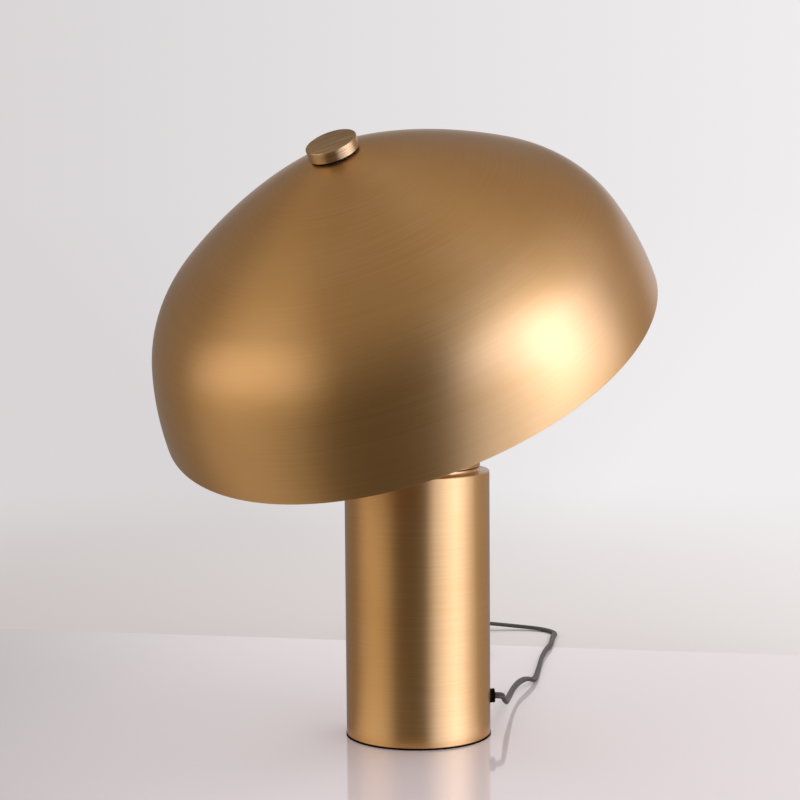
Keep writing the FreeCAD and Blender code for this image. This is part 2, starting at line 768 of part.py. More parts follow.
def make_rod():
    top = knob_bottom() + KNOB_THREAD_L - SEAT_GAP
    rod = disc(LAMP_THREAD_R, ROD_Z, top).cut(disc(LAMP_BORE_R, ROD_Z - OVERRUN, top + OVERRUN))
    reach = LAMP_THREAD_R + OVERRUN
    return rod.cut(cross_disc(WIRE_R + SEAT_GAP, -reach, reach, WIRE_Z))


def make_bridge():
    bar = centred_block(2 * HOLDER_OFFSET, BRIDGE_W, (BRIDGE_Z, HOLDER_Z))
    for x in (-HOLDER_OFFSET, HOLDER_OFFSET):
        bar = bar.fuse(disc(BRIDGE_W / 2, BRIDGE_Z, HOLDER_Z, x))
    for x in (-HOLDER_OFFSET, 0, HOLDER_OFFSET):
        bar = bar.cut(disc(LAMP_THREAD_R + RUNNING_FIT, BRIDGE_Z - OVERRUN, HOLDER_Z + OVERRUN, x))
    return bar.removeSplitter()


def make_bridge_nuts():
    under = lamp_nut(BRIDGE_Z - LAMP_NUT_T, LAMP_NUT_T)
    over = lamp_nut(HOLDER_Z, LAMP_NUT_T)
    return Part.makeCompound([under, over])


def make_shade_lead():
    return disc(INNER_LEAD_R, ROD_Z, WIRE_Z - WIRE_R)


def make_holder_wires():
    reach = HOLDER_OFFSET - HOLDER_R + HOLDER_WALL
    to_left = cross_disc(WIRE_R, -reach, 0, WIRE_Z)
    to_right = cross_disc(WIRE_R, 0, reach, WIRE_Z)
    return Part.makeCompound([to_left, to_right])


def make_holder_nipples():
    nipples = []
    for x in (-HOLDER_OFFSET, HOLDER_OFFSET):
        bottom = BRIDGE_Z - NIPPLE_FLANGE_T
        top = BRIDGE_Z + NIPPLE_SHANK_L
        nipple = disc(NIPPLE_FLANGE_R, bottom, BRIDGE_Z, x)
        nipple = nipple.fuse(disc(LAMP_THREAD_R, BRIDGE_Z, top, x))
        nipples.append(nipple.cut(disc(LAMP_BORE_R, bottom - OVERRUN, top + OVERRUN, x)))
    return Part.makeCompound(nipples)


def make_holder_cap(side):
    x = side * HOLDER_OFFSET
    cap = disc(HOLDER_R, HOLDER_Z, HOLDER_CAP_TOP, x)
    cap = eased(cap, HOLDER_EDGE_R, circle_at(HOLDER_Z, HOLDER_R))
    cap = cap.cut(disc(HOLDER_R - HOLDER_WALL, INSERT_Z, HOLDER_CAP_TOP + OVERRUN, x))
    cap = cap.cut(disc(LAMP_THREAD_R + RUNNING_FIT, HOLDER_Z - OVERRUN, INSERT_Z + OVERRUN, x))
    near = x - side * HOLDER_R
    far = near + side * (HOLDER_WALL + OVERRUN)
    back = near - side * OVERRUN
    return cap.cut(cross_disc(WIRE_R + RUNNING_FIT, min(back, far), max(back, far), WIRE_Z))


def make_holder_shell(side):
    x = side * HOLDER_OFFSET
    shell = disc(HOLDER_R, HOLDER_CAP_TOP, HOLDER_TOP, x)
    shell = eased(shell, HOLDER_EDGE_R, circle_at(HOLDER_TOP, HOLDER_R))
    spigot_r = HOLDER_R - HOLDER_WALL - RUNNING_FIT
    shell = shell.fuse(disc(spigot_r, HOLDER_CAP_TOP - HOLDER_SPIGOT_L, HOLDER_CAP_TOP + OVERRUN, x))
    bore_start = HOLDER_CAP_TOP - HOLDER_SPIGOT_L - OVERRUN
    return shell.cut(disc(HOLDER_SHELL_BORE_R, bore_start, HOLDER_TOP + OVERRUN, x))


def make_holder_insert(side):
    x = side * HOLDER_OFFSET
    radius = HOLDER_R - HOLDER_WALL - SLIP_FIT
    insert = disc(radius, INSERT_Z, INSERT_Z + INSERT_T, x)
    insert = insert.cut(disc(LAMP_THREAD_R + SLIP_FIT, INSERT_Z - OVERRUN, INSERT_Z + INSERT_RECESS_H, x))
    spigot_gap = HOLDER_CAP_TOP - HOLDER_SPIGOT_L - SEAT_GAP
    outer_ring = ring(HOLDER_R, HOLDER_SHELL_BORE_R - SLIP_FIT, spigot_gap, HOLDER_TOP, x)
    return insert.cut(outer_ring)


def make_bulb_cap(side):
    """A thin metal cup with a solid cone at its contact."""
    x = side * HOLDER_OFFSET
    cup_z = BULB_Z + BULB_CAP_TIP_H
    cap = Part.makeCone(BULB_CAP_TIP_R, BULB_CAP_R, BULB_CAP_TIP_H, vec(x, 0, BULB_Z))
    cap = cap.fuse(disc(BULB_CAP_R, cup_z, BULB_Z + BULB_CAP_H, x))
    return cap.cut(disc(BULB_CAP_R - BULB_CAP_WALL, cup_z, BULB_Z + BULB_CAP_H + OVERRUN, x))


def bulb_envelope(x, inset):
    """The bulb's neck and ball, set in by a wall."""
    neck_z = BULB_Z + BULB_CAP_H
    rise = math.sqrt(BULB_GLOBE_R ** 2 - BULB_NECK_R ** 2)
    centre_z = neck_z + BULB_NECK_L + rise
    ball = Part.makeSphere(BULB_GLOBE_R - inset, vec(x, 0, centre_z))
    return ball.fuse(disc(BULB_NECK_R - inset, neck_z + inset, centre_z, x))


def make_bulb_globe(side):
    """A hollow opal globe on a short neck."""
    x = side * HOLDER_OFFSET
    return bulb_envelope(x, 0).cut(bulb_envelope(x, BULB_GLASS_T))


def arc_point(centre, radius, slope):
    """The point of an arc where the outline falls at a given slope, in degrees from level."""
    angle = math.radians(slope)
    return (centre[0] + radius * math.sin(angle), centre[1] + radius * math.cos(angle))


def arc_centre(point, radius, slope):
    angle = math.radians(slope)
    return (point[0] - radius * math.sin(angle), point[1] - radius * math.cos(angle))


def shade_curve():
    """The outline from the rim to the crown, as three arcs and a flat seat, in lamp heights."""
    rim = (SHADE_RIM_R, RIM_Z)
    skirt = arc_centre(rim, SKIRT_ARC_R, RIM_SLOPE_ANGLE)
    skirt_top = arc_point(skirt, SKIRT_ARC_R, SKIRT_SLOPE_ANGLE)
    shoulder = arc_centre(skirt_top, SHOULDER_ARC_R, SKIRT_SLOPE_ANGLE)
    shoulder_top = arc_point(shoulder, SHOULDER_ARC_R, SHOULDER_SLOPE_ANGLE)
    dome = arc_centre(shoulder_top, DOME_ARC_R, SHOULDER_SLOPE_ANGLE)
    seat_z = dome[1] + math.sqrt(DOME_ARC_R ** 2 - (CROWN_SEAT_R - dome[0]) ** 2)
    return {"skirt": skirt, "shoulder": shoulder, "dome": dome, "seat_z": seat_z}


def shade_outline(inset):
    """Arc edges of the shade's outline, set in by a wall, and its two end points."""
    curve = shade_curve()
    seat_z = curve["seat_z"] - inset
    reach = DOME_ARC_R - inset
    crown_r = curve["dome"][0] + math.sqrt(reach ** 2 - (seat_z - curve["dome"][1]) ** 2)
    crown_slope = math.degrees(math.asin((crown_r - curve["dome"][0]) / reach))
    spans = [
        ("skirt", SKIRT_ARC_R, RIM_SLOPE_ANGLE, SKIRT_SLOPE_ANGLE),
        ("shoulder", SHOULDER_ARC_R, SKIRT_SLOPE_ANGLE, SHOULDER_SLOPE_ANGLE),
        ("dome", DOME_ARC_R, SHOULDER_SLOPE_ANGLE, crown_slope)]
    edges = []
    ends = []
    for name, radius, low, high in spans:
        stations = [
            arc_point(curve[name], radius - inset, low + (high - low) * step / 2) for step in range(3)]
        points = [vec(r, 0, z) for r, z in stations]
        edges.append(Part.Arc(*points).toShape())
        ends += [points[0], points[2]]
    return edges, ends[0], ends[-1], seat_z


def make_shade():
    outer, outer_rim, outer_crown, outer_z = shade_outline(0.0)
    inner, inner_rim, inner_crown, inner_z = shade_outline(SHADE_WALL)
    bore = LAMP_THREAD_R + RUNNING_FIT
    seat = [outer_crown, vec(bore, 0, outer_z), vec(bore, 0, inner_z), inner_crown]
    edges = list(outer)
    edges += [Part.LineSegment(a, b).toShape() for a, b in zip(seat, seat[1:])]
    edges += inner[::-1]
    edges.append(Part.LineSegment(inner_rim, outer_rim).toShape())
    outline = Part.Wire(Part.__sortEdges__(edges))
    return Part.Face(outline).revolve(ORIGIN, Z_AXIS, 360)


def inner_seat_z():
    return shade_curve()["seat_z"] - SHADE_WALL


def make_seat_washer():
    top = inner_seat_z()
    return ring(SEAT_WASHER_R, LAMP_THREAD_R + RUNNING_FIT, top - SEAT_WASHER_T, top)


def make_seat_nut():
    return lamp_nut(inner_seat_z() - SEAT_WASHER_T - SEAT_NUT_T, SEAT_NUT_T)


def make_crown_washer():
    bottom = shade_curve()["seat_z"]
    return ring(CROWN_WASHER_R, LAMP_THREAD_R + RUNNING_FIT, bottom, bottom + CROWN_WASHER_T)


def make_crown_knob():
    bottom = knob_bottom()
    top = bottom + KNOB_T
    knob = disc(KNOB_R, bottom, top)
    knob = eased(knob, KNOB_EDGE_R, circle_at(top, KNOB_R))
    return knob.cut(disc(LAMP_THREAD_R + RUNNING_FIT, bottom - OVERRUN, bottom + KNOB_THREAD_L))


# Lead, switch and plug

def coil_station(turns):
    """A point and a direction on the coil, by the number of turns from its start."""
    in_turns = (COIL_TURNS - COIL_CLIMB_TURNS) / 2
    least_r = COIL_OUTER_R - COIL_PITCH * in_turns
    if turns <= in_turns:
        radius = COIL_OUTER_R - COIL_PITCH * turns
        grow = -COIL_PITCH
    elif turns <= in_turns + COIL_CLIMB_TURNS:
        past = turns - in_turns
        radius = least_r - COIL_PITCH * past * (1 - past / COIL_CLIMB_TURNS)
        grow = COIL_PITCH * (2 * past / COIL_CLIMB_TURNS - 1)
    else:
        radius = least_r + COIL_PITCH * (turns - in_turns - COIL_CLIMB_TURNS)
        grow = COIL_PITCH
    share = max(0.0, min(1.0, (turns - in_turns) / COIL_CLIMB_TURNS))
    height = LEAD_R + COIL_LAYER_RISE * share * share * (3 - 2 * share)
    climb = COIL_LAYER_RISE * 6 * share * (1 - share) / COIL_CLIMB_TURNS
    angle = math.radians(COIL_START_ANGLE) + 2 * math.pi * turns
    out = vec(math.cos(angle), math.sin(angle), 0)
    across = vec(-math.sin(angle), math.cos(angle), 0)
    point = vec(COIL_CENTRE[0], COIL_CENTRE[1], height) + out * radius
    way = across * (2 * math.pi * radius) + out * grow + vec(0, 0, climb)
    return point, way.normalize()


def coil_ways():
    count = int(round(COIL_TURNS * COIL_STEPS_PER_TURN))
    stations = [coil_station(COIL_TURNS * k / count) for k in range(count + 1)]
    first = FreeCAD.Vector(stations[0][1])
    last = FreeCAD.Vector(stations[-1][1])
    start = stations[0][0] - first * (2 * LEAD_R)
    end = stations[-1][0] + last * (2 * LEAD_R)
    return stations, start, end


def make_cord_coil():
    stations, start, end = coil_ways()
    edges = [Part.LineSegment(start, stations[0][0]).toShape()]
    for (point, way), (next_point, next_way) in zip(stations, stations[1:]):
        edges += biarc_edges(point, way, next_point, next_way)
    edges.append(Part.LineSegment(stations[-1][0], end).toShape())
    path = Part.Wire(edges)
    print_coil_gap(edges)
    return tube(path, LEAD_R, "cord_coil")


def print_coil_gap(edges):
    """The least gap between turns, on points along the path that are not close neighbours."""
    points = []
    run = 0.0
    for edge in edges:
        steps = max(2, int(edge.Length / LEAD_R))
        for k in range(steps):
            at = edge.FirstParameter + (edge.LastParameter - edge.FirstParameter) * k / steps
            points.append((run + edge.Length * k / steps, edge.valueAt(at)))
        run += edge.Length
    skip = 8 * LEAD_R
    least = min(
        (first - second).Length
        for i, (place, first) in enumerate(points)
        for other, second in points[i + 1:]
        if other - place > skip)
    print("cord_coil least gap to itself", round(least - 2 * LEAD_R, 2))


def joined_route(start, start_way, start_run, route, end, end_way):
    """A hand-chosen route with a straight run, square to what it meets, at each end."""
    points = [start, start + start_way * start_run]
    points += [vec(*point) for point in route]
    points += [end - end_way * LEAD_END_RUN, end]
    return points


def plan_way(angle):
    """A level direction, by its angle in degrees."""
    return vec(math.cos(math.radians(angle)), math.sin(math.radians(angle)), 0)


def gland_exit():
    return plan_way(GLAND_ANGLE) * GLAND_FACE_R + vec(0, 0, GLAND_Z)


def make_cord_lead():
    points = joined_route(
        gland_exit(), plan_way(GLAND_ANGLE), LEAD_START_RUN, LEAD_ROUTE,
        switch_port(1), plan_way(SWITCH_ANGLE) * -1)
    return tube(rounded_route(points, "cord_lead"), LEAD_R, "cord_lead")


def make_cord_mid():
    stations, coil_start, coil_end = coil_ways()
    points = joined_route(
        switch_port(-1), plan_way(SWITCH_ANGLE) * -1, LEAD_END_RUN, MID_ROUTE,
        coil_start, stations[0][1])
    return tube(rounded_route(points, "cord_mid"), LEAD_R, "cord_mid")


def make_cord_tail():
    stations, coil_start, coil_end = coil_ways()
    points = joined_route(
        coil_end, stations[-1][1], LEAD_END_RUN, TAIL_ROUTE,
        plug_port(), plan_way(PLUG_ANGLE))
    return tube(rounded_route(points, "cord_tail"), LEAD_R, "cord_tail")


def switch_port(side):
    return vec(*SWITCH_PLACE, SWITCH_LEAD_Z) + plan_way(SWITCH_ANGLE) * (side * SWITCH_L / 2)


def place_switch(shape):
    return moved(turned(shape, SWITCH_ANGLE), SWITCH_PLACE[0], SWITCH_PLACE[1], 0)


def rounded_block(length, width, z_span, corner):
    body = centred_block(length, width, z_span)
    return eased(body, corner, lambda edge: abs(edge.tangentAt(edge.FirstParameter).z) > 1 - RUNNING_FIT)


def switch_screw_places():
    inset = SWITCH_L / 2 - SWITCH_SCREW_INSET
    return [(-inset, SWITCH_W / 4), (inset, -SWITCH_W / 4)]


def switch_half(z_span, cavity_span):
    """A rounded tray or cover with its cavity and two screw posts."""
    half = rounded_block(SWITCH_L, SWITCH_W, z_span, SWITCH_CORNER_R)
    inner_l = SWITCH_L - 2 * SWITCH_WALL
    inner_w = SWITCH_W - 2 * SWITCH_WALL
    half = half.cut(rounded_block(inner_l, inner_w, cavity_span, SWITCH_CORNER_R - SWITCH_WALL))
    for x, y in switch_screw_places():
        half = half.fuse(disc(SWITCH_POST_R, z_span[0], z_span[1], x, y))
    for x, y in switch_screw_places():
        half = half.cut(switch_screw(x, y, RUNNING_FIT))
    return half


def switch_screw(x, y, ease=0.0):
    return countersunk_screw(
        SWITCH_SCREW_R, SWITCH_SCREW_HEAD_R, SWITCH_SCREW_HEAD_H, SWITCH_SCREW_L, x, y, 0, ease)


def make_switch_lower():
    span = (0, SWITCH_LOWER_H)
    half = switch_half(span, (SWITCH_WALL, SWITCH_LOWER_H + OVERRUN))
    return place_switch(half)


def rocker_pivot_z():
    return SWITCH_LOWER_H + SWITCH_UPPER_H - ROCKER_PIVOT_DEPTH


def make_switch_upper():
    """The cover, with a window for the rocker and two ears that its pins turn in."""
    top = SWITCH_LOWER_H + SWITCH_UPPER_H
    half = switch_half((SWITCH_LOWER_H, top), (SWITCH_LOWER_H - OVERRUN, top - SWITCH_WALL))
    window_l = ROCKER_L + 2 * ROCKER_GAP
    window_w = ROCKER_W + 2 * ROCKER_GAP
    half = half.cut(centred_block(window_l, window_w, (top - SWITCH_WALL - OVERRUN, top + OVERRUN)))
    half = eased(half, SWITCH_EDGE_R, lambda edge: on_top_rim(edge, top))
    ear_low = rocker_pivot_z() - 2 * ROCKER_PIN_R
    for side in (-1, 1):
        ear_y = side * (window_w + ROCKER_EAR_T) / 2
        half = half.fuse(centred_block(ROCKER_EAR_L, ROCKER_EAR_T, (ear_low, top - SWITCH_WALL), 0, ear_y))
    return place_switch(half.cut(rocker_pins(ROCKER_PIN_R + RUNNING_FIT)))


def on_top_rim(edge, top):
    """The outer edge of the cover's top, and not the window's."""
    box = edge.BoundBox
    flat = abs(box.ZMin - top) < RUNNING_FIT and abs(box.ZMax - top) < RUNNING_FIT
    far_x = max(abs(box.XMin), abs(box.XMax)) > ROCKER_L / 2 + 2 * ROCKER_GAP
    far_y = max(abs(box.YMin), abs(box.YMax)) > ROCKER_W / 2 + 2 * ROCKER_GAP
    return flat and (far_x or far_y)


def rocker_pins(radius):
    reach = ROCKER_W / 2 + ROCKER_GAP + ROCKER_EAR_T
    return Part.makeCylinder(radius, 2 * reach, vec(0, -reach, rocker_pivot_z()), Y_AXIS)


def make_switch_rocker():
    """Two sloping halves, so that one lies level when the other is up, with ends round its pins."""
    pivot_z = rocker_pivot_z()
    half_l = ROCKER_L / 2
    proud = ROCKER_PIVOT_DEPTH + ROCKER_PROUD
    drop = half_l * math.tan(math.radians(ROCKER_SWING))
    corners = [
        (-half_l, proud), (0, proud - drop), (half_l, proud),
        (half_l, -ROCKER_UNDER), (-half_l, -ROCKER_UNDER)]
    outline = [vec(x, -ROCKER_W / 2, pivot_z + z) for x, z in corners + corners[:1]]
    body = Part.Face(Part.makePolygon(outline)).extrude(vec(0, ROCKER_W, 0))
    body = body.common(Part.makeCylinder(half_l, ROCKER_W, vec(0, -ROCKER_W / 2, pivot_z), Y_AXIS))
    body = body.fuse(rocker_pins(ROCKER_PIN_R))
    return place_switch(turned(body, ROCKER_SWING, Y_AXIS, vec(0, 0, pivot_z)))


def make_switch_contacts():
    return place_switch(centred_block(CONTACTS_L, CONTACTS_W, (SWITCH_WALL, SWITCH_WALL + CONTACTS_H)))


def make_switch_screws():
    return place_switch(Part.makeCompound([switch_screw(x, y) for x, y in switch_screw_places()]))


def place_plug(shape):
    return moved(turned(shape, PLUG_ANGLE), PLUG_PLACE[0], PLUG_PLACE[1], PLUG_T / 2)


def plug_port():
    return vec(*PLUG_PLACE, PLUG_T / 2) - plan_way(PLUG_ANGLE) * (PLUG_L / 2)


def make_plug_body():
    """A flat plug: narrow at the lead and wide at the pins."""
    back = -PLUG_L / 2
    shoulder = back + PLUG_SHOULDER_L
    front = PLUG_L / 2
    corners = [
        (back, PLUG_TAIL_W / 2), (shoulder, PLUG_W / 2), (front, PLUG_W / 2),
        (front, -PLUG_W / 2), (shoulder, -PLUG_W / 2), (back, -PLUG_TAIL_W / 2)]
    outline = [vec(x, y, -PLUG_T / 2) for x, y in corners + corners[:1]]
    body = Part.Face(Part.makePolygon(outline)).extrude(vec(0, 0, PLUG_T))
    long_edges = [edge for edge in body.Edges if abs(edge.tangentAt(edge.FirstParameter).z) < RUNNING_FIT]
    long_edges = [edge for edge in long_edges if edge.BoundBox.XLength > RUNNING_FIT]
    body = body.makeFillet(PLUG_EDGE_R, long_edges)
    for y in (-PIN_SPACING / 2, PIN_SPACING / 2):
        body = body.cut(plug_pin(y, RUNNING_FIT))
    return place_plug(body)


def plug_pin(y, ease=0.0):
    start = PLUG_L / 2 - PIN_ROOT
    return Part.makeCylinder(PIN_R + ease, PIN_ROOT + PIN_L, vec(start, y, 0), X_AXIS)


def make_plug_pins():
    pins = []
    for y in (-PIN_SPACING / 2, PIN_SPACING / 2):
        pin = plug_pin(y)
        tip_x = PLUG_L / 2 + PIN_L
        pins.append(eased(pin, PIN_R / 2, lambda edge: abs(edge.BoundBox.XMin - tip_x) < RUNNING_FIT))
    return place_plug(Part.makeCompound(pins))


FIXED_PIECES = {
    "foot_pad": make_foot_pad,
    "bottom_plate": make_bottom_plate,
    "bottom_screws": make_bottom_screws,
    "counterweight": make_counterweight,
    "weight_screws": make_weight_screws,
    "base_shell": make_base_shell,
    "cord_gland": make_cord_gland,
    "gland_nut": make_gland_nut,
    "inner_flex": make_inner_flex,
    "lead_clamp": make_lead_clamp,
    "clamp_screws": make_clamp_screws,
    "terminal_block": make_terminal_block,
    "base_lead": make_base_lead,
    "swivel_nipple": make_swivel_nipple,
    "nipple_locknut": make_nipple_locknut,
    "bearing_washer": make_bearing_washer,
    "friction_washer": make_friction_washer,
    "swivel_nut": make_swivel_nut,
    "swivel_plate": make_swivel_plate,
    "stem": make_stem,
    "stem_screws": make_stem_screws,
    "knuckle_fork": make_knuckle_fork,
    "head_lead": make_head_lead,
    "pivot_bolt": make_pivot_bolt,
    "pivot_nut": make_pivot_nut,
    "knuckle_washers": make_knuckle_washers,
    "cord_lead": make_cord_lead,
    "cord_mid": make_cord_mid,
    "cord_coil": make_cord_coil,
    "cord_tail": make_cord_tail,
    "switch_lower": make_switch_lower,
    "switch_upper": make_switch_upper,
    "switch_rocker": make_switch_rocker,
    "switch_contacts": make_switch_contacts,
    "switch_screws": make_switch_screws,
    "plug_body": make_plug_body,
    "plug_pins": make_plug_pins,
}
TILTING_PIECES = {
    "knuckle_tongue": make_knuckle_tongue,
    "rod": make_rod,
    "bridge": make_bridge,
    "bridge_nuts": make_bridge_nuts,
    "shade_lead": make_shade_lead,
    "holder_wires": make_holder_wires,
    "holder_nipples": make_holder_nipples,
    "seat_washer": make_seat_washer,
    "seat_nut": make_seat_nut,
    "shade": make_shade,
    "crown_washer": make_crown_washer,
    "crown_knob": make_crown_knob,
}
PAIRED_PIECES = {
    "holder_cap": make_holder_cap,
    "holder_shell": make_holder_shell,
    "holder_insert": make_holder_insert,
    "bulb_cap": make_bulb_cap,
    "bulb_globe": make_bulb_globe,
}


def build():
    pieces = {name: make() for name, make in FIXED_PIECES.items()}
    upright = {name: make() for name, make in TILTING_PIECES.items()}
    for side, label in ((-1, "left"), (1, "right")):
        for name, make in PAIRED_PIECES.items():
            upright[name + "_" + label] = make(side)
    for name, shape in upright.items():
        pieces[name] = turned(shape, REST_TILT, X_AXIS, PIVOT)
    return pieces


os.makedirs("parts", exist_ok=True)
for node, shape in build().items():
    if not shape.isValid():
        print("invalid:", node)
    shape.exportStep(os.path.join("parts", node + ".step"))
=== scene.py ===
"""Brass table lamp with a tipped dome shade, seen as in the photograph and lit in a small studio."""
import json
import math

import bmesh
import bpy
from mathutils import Matrix, Vector


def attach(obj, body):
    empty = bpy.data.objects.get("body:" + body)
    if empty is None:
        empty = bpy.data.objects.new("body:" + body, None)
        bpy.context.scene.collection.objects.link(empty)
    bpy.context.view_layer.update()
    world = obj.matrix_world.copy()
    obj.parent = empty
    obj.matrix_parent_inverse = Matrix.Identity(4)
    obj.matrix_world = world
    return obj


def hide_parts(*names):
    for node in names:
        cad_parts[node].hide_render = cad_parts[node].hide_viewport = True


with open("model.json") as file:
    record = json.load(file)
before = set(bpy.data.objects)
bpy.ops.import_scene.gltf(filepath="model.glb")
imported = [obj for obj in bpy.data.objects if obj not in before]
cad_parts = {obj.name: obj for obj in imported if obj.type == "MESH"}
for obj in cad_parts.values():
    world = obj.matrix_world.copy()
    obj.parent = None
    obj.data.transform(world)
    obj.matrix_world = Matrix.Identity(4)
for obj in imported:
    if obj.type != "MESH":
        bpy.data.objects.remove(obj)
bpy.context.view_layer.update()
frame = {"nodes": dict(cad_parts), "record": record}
nodes = frame["nodes"]
scene = bpy.context.scene
MM = 0.001

# Camera, at the photograph's viewing angle, in metres and degrees

CAMERA_AZIMUTH = 37.4
CAMERA_DISTANCE = 1.5069
CAMERA_HEIGHT = 0.37447
CAMERA_YAW = 0.4267
CAMERA_PITCH = 5.366
CAMERA_ROLL = -0.4377
CAMERA_LENS = 99.12


def level_way(angle):
    """A level direction, by its angle to the right of the line from the lamp to the camera."""
    turn = math.radians(CAMERA_AZIMUTH + angle)
    return Vector((math.sin(turn), -math.cos(turn), 0))


def aimed_way(angle, rise):
    """The same, raised above the level by an angle."""
    return level_way(angle) * math.cos(math.radians(rise)) + Vector((0, 0, math.sin(math.radians(rise))))


def turn_about(axis, degrees):
    return Matrix.Rotation(math.radians(degrees), 4, axis)


camera_data = bpy.data.cameras.new("photo_camera")
camera_data.lens = CAMERA_LENS
camera = bpy.data.objects.new("photo_camera", camera_data)
scene.collection.objects.link(camera)
camera_place = level_way(0) * CAMERA_DISTANCE + Vector((0, 0, CAMERA_HEIGHT))
camera.matrix_world = (
    Matrix.Translation(camera_place)
    @ turn_about("Z", CAMERA_AZIMUTH + CAMERA_YAW)
    @ turn_about("X", 90 - CAMERA_PITCH)
    @ turn_about("Z", CAMERA_ROLL))
scene.camera = camera

# The lead, in millimetres: flat twin flex from the bush to the switch, and on through a coil to the plug

LEAD_R = 2.2
FLEX_WIDTH = 4.3
FLEX_THICK = 2.8
FLEX_LIE = 1.45
PLUG_PLACE = Vector((-127.6, 226.6, 6.9))
PLUG_ANGLE = 127.4
PLUG_L = 35.0
COIL_CENTRE = Vector((-106.2, 138.9, 0))
COIL_START_ANGLE = 217.4
COIL_OUTER_R = 33.3
COIL_PITCH = 4.95
COIL_RISE = 2.95
COIL_TURNS = 6.5
COIL_CLIMB_TURNS = 0.5
COIL_POINTS_PER_TURN = 16
END_RUN = 7.0
GLAND_EXIT = (38.04, 38.04, 24.5)
LEAD_POINTS = [
    GLAND_EXIT, (40.8, 40.8, 24.5), (40.8, 44.5, 22.9), (37.7, 50.2, 19.2), (31.8, 60.2, 14.2),
    (14.1, 89.8, 10.8), (-3.2, 119.9, 9.0), (-15.8, 145.7, 7.6), (-20.7, 163.2, 6.4),
    (-22.4, 176.6, 1.9), (-45.3, 215.6, 2.2), (-65.5, 249.1, 2.2), (-80.0, 277.4, 2.2),
    (-86.8, 294.8, 2.1), (-105.8, 325.5, 1.5), (-112.3, 339.6, 1.5), (-130.0, 346.2, 1.9),
    (-150.3, 338.2, 3.2), (-168.5, 322.5, 6.0), (-183.41, 309.08, 8.0), (-188.97, 304.83, 8.0)]
# The flex lies flat at 0 and stands on its edge at 90
LEAD_TILTS = [90, 90, 80, 60, 30, 60, 80, 40, 10, 40, 80, 88, 88, 70, 20, 0, 0, 0, 0, 0, 0]
MID_POINTS = [
    (-238.23, 267.17, 8.0), (-243.79, 262.92, 8.0), (-251.6, 253.3, 5.3), (-252.0, 239.1, 1.8),
    (-241.3, 223.4, 1.45), (-219.1, 202.6, 1.45), (-193.3, 182.0, 1.45), (-167.5, 159.0, 1.45),
    (-148.5, 138.2, 1.45)]
TAIL_POINTS = [(-92.8, 178.3, 3.4), (-102.6, 193.4, 4.2)]


def plan_way(angle):
    return Vector((math.cos(math.radians(angle)), math.sin(math.radians(angle)), 0))


def coil_point(turns):
    """A point of the coil, by the number of turns from its start: inwards, up a layer, and out again."""
    in_turns = (COIL_TURNS - COIL_CLIMB_TURNS) / 2
    least_r = COIL_OUTER_R - COIL_PITCH * in_turns
    if turns <= in_turns:
        radius = COIL_OUTER_R - COIL_PITCH * turns
    elif turns <= in_turns + COIL_CLIMB_TURNS:
        past = turns - in_turns
        radius = least_r - COIL_PITCH * past * (1 - past / COIL_CLIMB_TURNS)
    else:
        radius = least_r + COIL_PITCH * (turns - in_turns - COIL_CLIMB_TURNS)
    share = max(0.0, min(1.0, (turns - in_turns) / COIL_CLIMB_TURNS))
    height = FLEX_LIE + COIL_RISE * share * share * (3 - 2 * share)
    return COIL_CENTRE + plan_way(COIL_START_ANGLE + 360 * turns) * radius + Vector((0, 0, height))


def flex_profile():
    """The section of flat twin flex, in units of the lead's radius: two cores and a shallow groove."""
    half_w = FLEX_WIDTH / 2 / LEAD_R
    half_t = FLEX_THICK / 2 / LEAD_R
    # A quarter of the outline, as shares of the half width and the half thickness
    quarter = [(1.03, 0.60), (0.56, 1.13), (0.0, 0.62)]
    top = quarter + [(-x, y) for x, y in quarter[1::-1]]
    outline = top + [(x, -y) for x, y in top[::-1]]
    curve = bpy.data.curves.new("flex_profile", "CURVE")
    spline = curve.splines.new("NURBS")
    spline.points.add(len(outline) - 1)
    for point, (x, y) in zip(spline.points, outline):
        point.co = (x * half_w, y * half_t, 0, 1)
    spline.order_u = 3
    spline.use_cyclic_u = True
    curve.resolution_u = 3
    profile = bpy.data.objects.new("flex_profile", curve)
    scene.collection.objects.link(profile)
    profile.hide_render = True
    profile.hide_viewport = True
    return profile


def flex_curve(name, points, tilts, profile):
    curve = bpy.data.curves.new(name, "CURVE")
    curve.dimensions = "3D"
    curve.twist_mode = "Z_UP"
    curve.bevel_mode = "OBJECT"
    curve.bevel_object = profile
    curve.use_fill_caps = True
    spline = curve.splines.new("NURBS")
    spline.points.add(len(points) - 1)
    for point, place, tilt in zip(spline.points, points, tilts):
        point.co = (*(Vector(place) * MM), 1)
        point.tilt = math.radians(tilt)
        point.radius = LEAD_R * MM
    spline.order_u = 3
    spline.use_endpoint_u = True
    curve.resolution_u = 6
    flex = bpy.data.objects.new(name, curve)
    scene.collection.objects.link(flex)
    return flex


flex_section = flex_profile()
lead = flex_curve("lead_to_switch", LEAD_POINTS, LEAD_TILTS, flex_section)
coil_count = round(COIL_TURNS * COIL_POINTS_PER_TURN)
coil_points = [coil_point(COIL_TURNS * k / coil_count) for k in range(coil_count + 1)]
coil_start_way = (coil_points[0] - coil_points[1]).normalized()
coil_end_way = (coil_points[-1] - coil_points[-2]).normalized()
plug_port = PLUG_PLACE - plan_way(PLUG_ANGLE) * (PLUG_L / 2)
rest_points = (
    MID_POINTS + [coil_points[0] + coil_start_way * (END_RUN + 2 * LEAD_R)] + coil_points
    + [coil_points[-1] + coil_end_way * (END_RUN + 2 * LEAD_R)] + TAIL_POINTS
    + [plug_port - plan_way(PLUG_ANGLE) * END_RUN, plug_port])
rest_of_lead = flex_curve("lead_coil_to_plug", rest_points, [0] * len(rest_points), flex_section)

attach(lead, "base")
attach(rest_of_lead, "base")
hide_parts("cord_lead")
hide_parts("cord_mid", "cord_coil", "cord_tail")

# Materials


